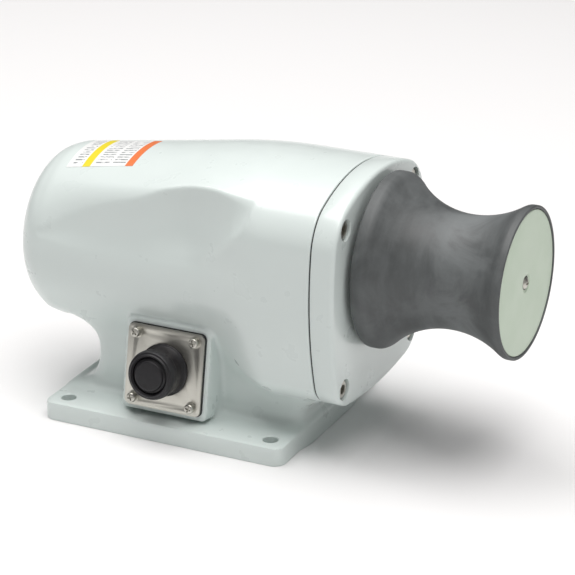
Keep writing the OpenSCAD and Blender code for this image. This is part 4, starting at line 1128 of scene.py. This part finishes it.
def build_button():
    """Rubber collar with a waist, and the button inside it."""
    switch = settings(bpy.context.scene.windlass_switch)
    top = switch["gasket_thickness"] + switch["plate_thickness"]
    place = switch_place()["matrix"] @ shift(0, 0, top)
    collar = [(12.35, 0), (17.5, 0), (17.5, 1.9), (16.4, 2.3), (15.3, 5.2), (15.25, 11), (16.5, 12.8),
              (16.5, 17.6), (15.6, 20.2), (14.3, 20.4), (13.9, 21.3), (13.1, 21.5), (12.7, 20.4),
              (12.35, 20.2)]
    rim = turned("windlass_switch_collar", rounded(collar, 0.8), place, 128)
    finish_piece(rim, "frame", "black_rubber", "switch_collar")
    bottom = 8.5 - top
    face = [(0, bottom), (12, bottom), (12, 19.4), (11.2, 20), (10.2, 20.3), (9.9, 21.6), (9.2, 22),
            (0, 22.2)]
    button = turned("windlass_push_button", rounded(face, 0.6), place, 128)
    return finish_piece(button, "button", "black_rubber", "push_button")


def dress_inner_parts():
    """Gives each part that is kept as packed the finish of its slot."""
    for name, node in frame["nodes"].items():
        node.data.materials.clear()
        node.data.materials.append(finish(SLOT_OF[name]))


# ---------- the stage ----------

FLOOR_SPAN, FLOOR_Z = 6000, -0.2
LIGHT_TARGET = Vector((0.05, 0, 0.09))
LIGHT_COLOUR, SKY_COLOUR, SKY_STRENGTH = (1.0, 0.98, 0.972), (0.97, 0.985, 1.0, 1), 0.1
CAMERA_PLACE, CAMERA_AIM = Vector((0.74033, -1.41332, 0.73448)), Vector((-0.4029, 0.8332, -0.3788))
CAMERA_LENS = 162

# Name, place, size in metres and power of each soft light
STUDIO_LIGHTS = [
    ("overhead", (0.0, -0.1, 2.4), (3.2, 2.0), 94),
    ("side", (2.2, -0.6, 1.2), (1.6, 1.6), 4),
    ("front", (-0.9, -2.0, 1.3), (1.8, 1.4), 1),
]


def place_facing(name, data, place, aim):
    """Adds a light or a camera that looks along aim."""
    obj = bpy.data.objects.new(name, data)
    obj.location = place
    obj.rotation_euler = aim.to_track_quat("-Z", "Y").to_euler()
    bpy.context.scene.collection.objects.link(obj)
    return obj


def build_stage():
    """Floor, soft lights and the camera."""
    scene = bpy.context.scene
    corners = [(x * FLOOR_SPAN, y * FLOOR_SPAN, FLOOR_Z) for x, y in ((-1, -1), (1, -1), (1, 1), (-1, 1))]
    floor = part("studio_floor", corners, [[0, 1, 2, 3]])
    floor.data.materials.append(floor_finish("studio_floor"))

    scene.world = bpy.data.worlds.new("studio")
    scene.world.use_nodes = True
    sky = scene.world.node_tree.nodes["Background"]
    sky.inputs["Color"].default_value = SKY_COLOUR
    sky.inputs["Strength"].default_value = SKY_STRENGTH
    scene.view_settings.view_transform = "Standard"

    for name, spot, size, watts in STUDIO_LIGHTS:
        lamp = bpy.data.lights.new(name, "AREA")
        lamp.shape = "RECTANGLE"
        lamp.size, lamp.size_y = size
        lamp.energy = watts
        lamp.color = LIGHT_COLOUR
        place_facing(name, lamp, spot, LIGHT_TARGET - Vector(spot))

    camera = bpy.data.cameras.new("camera")
    camera.lens = CAMERA_LENS
    camera.sensor_width = 36
    scene.camera = place_facing("camera", camera, CAMERA_PLACE, CAMERA_AIM)


# ---------- operators and panel ----------

class WINDLASS_OT_stage(bpy.types.Operator):
    """Adds the pale floor, the soft lights and the camera"""
    bl_idname = "windlass.stage"
    bl_label = "Studio"
    bl_options = {"REGISTER", "UNDO"}

    def execute(self, context):
        build_stage()
        return {"FINISHED"}


class WINDLASS_OT_inner_parts(bpy.types.Operator):
    """Gives the gear train, the motor and the other inner parts their finishes"""
    bl_idname = "windlass.inner_parts"
    bl_label = "Inner parts"
    bl_options = {"REGISTER", "UNDO"}

    def execute(self, context):
        dress_inner_parts()
        return {"FINISHED"}


class WINDLASS_OT_housing(bpy.types.Operator):
    """Builds the housing casting with its barrel, side hollows, pedestal and base"""
    bl_idname = "windlass.housing"
    bl_label = "Housing"
    bl_options = {"REGISTER", "UNDO"}

    def execute(self, context):
        build_housing()
        return {"FINISHED"}


class WINDLASS_OT_front_cover(bpy.types.Operator):
    """Builds the front cover, its gasket and its four cap screws"""
    bl_idname = "windlass.front_cover"
    bl_label = "Front cover"
    bl_options = {"REGISTER", "UNDO"}

    def execute(self, context):
        build_front_cover()
        build_cover_gasket()
        build_cover_bolts()
        return {"FINISHED"}


class WINDLASS_OT_drum(bpy.types.Operator):
    """Builds the warping drum, its end disc and the disc's screw"""
    bl_idname = "windlass.drum"
    bl_label = "Drum"
    bl_options = {"REGISTER", "UNDO"}

    def execute(self, context):
        build_drum()
        build_drum_cap()
        return {"FINISHED"}


class WINDLASS_OT_switch(bpy.types.Operator):
    """Builds the switch plate, gasket, screws, collar and push-button"""
    bl_idname = "windlass.switch"
    bl_label = "Switch"
    bl_options = {"REGISTER", "UNDO"}

    def execute(self, context):
        build_switch_plate()
        build_button()
        return {"FINISHED"}


class WINDLASS_OT_label(bpy.types.Operator):
    """Adds the film with plain colour bands on the rear of the roof"""
    bl_idname = "windlass.label"
    bl_label = "Label"
    bl_options = {"REGISTER", "UNDO"}

    def execute(self, context):
        build_label()
        return {"FINISHED"}


PIECE_OPERATORS = [WINDLASS_OT_stage, WINDLASS_OT_inner_parts, WINDLASS_OT_housing,
                   WINDLASS_OT_front_cover, WINDLASS_OT_drum, WINDLASS_OT_switch, WINDLASS_OT_label]
SETTINGS = {"windlass_castings": WindlassCastingSizes, "windlass_drum": WindlassDrumSizes,
            "windlass_switch": WindlassSwitchSizes, "windlass_colours": WindlassColours}


class WINDLASS_PT_pieces(bpy.types.Panel):
    """Sizes, colours and pieces of the windlass"""
    bl_idname = "WINDLASS_PT_pieces"
    bl_label = "Anchor windlass"
    bl_space_type = "VIEW_3D"
    bl_region_type = "UI"
    bl_category = "Windlass"

    def draw(self, context):
        """Lists the settings and the operators."""
        for name, group in SETTINGS.items():
            box = self.layout.box()
            for prop in group.__annotations__:
                box.prop(getattr(context.scene, name), prop)
        for operator in PIECE_OPERATORS:
            self.layout.operator(operator.bl_idname)


def register():
    """Registers the settings, the operators and the panel."""
    for cls in [*SETTINGS.values(), *PIECE_OPERATORS, WINDLASS_PT_pieces]:
        bpy.utils.register_class(cls)
    for name, group in SETTINGS.items():
        setattr(bpy.types.Scene, name, PointerProperty(type=group))


def unregister():
    """Removes what register added."""
    for name in SETTINGS:
        delattr(bpy.types.Scene, name)
    for cls in [WINDLASS_PT_pieces, *PIECE_OPERATORS[::-1], *list(SETTINGS.values())[::-1]]:
        bpy.utils.unregister_class(cls)


def main():
    """Registers the add-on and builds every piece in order."""
    register()
    for operator in PIECE_OPERATORS:
        group, name = operator.bl_idname.split(".")
        getattr(getattr(bpy.ops, group), name)()


if __name__ == "__main__":
    main()
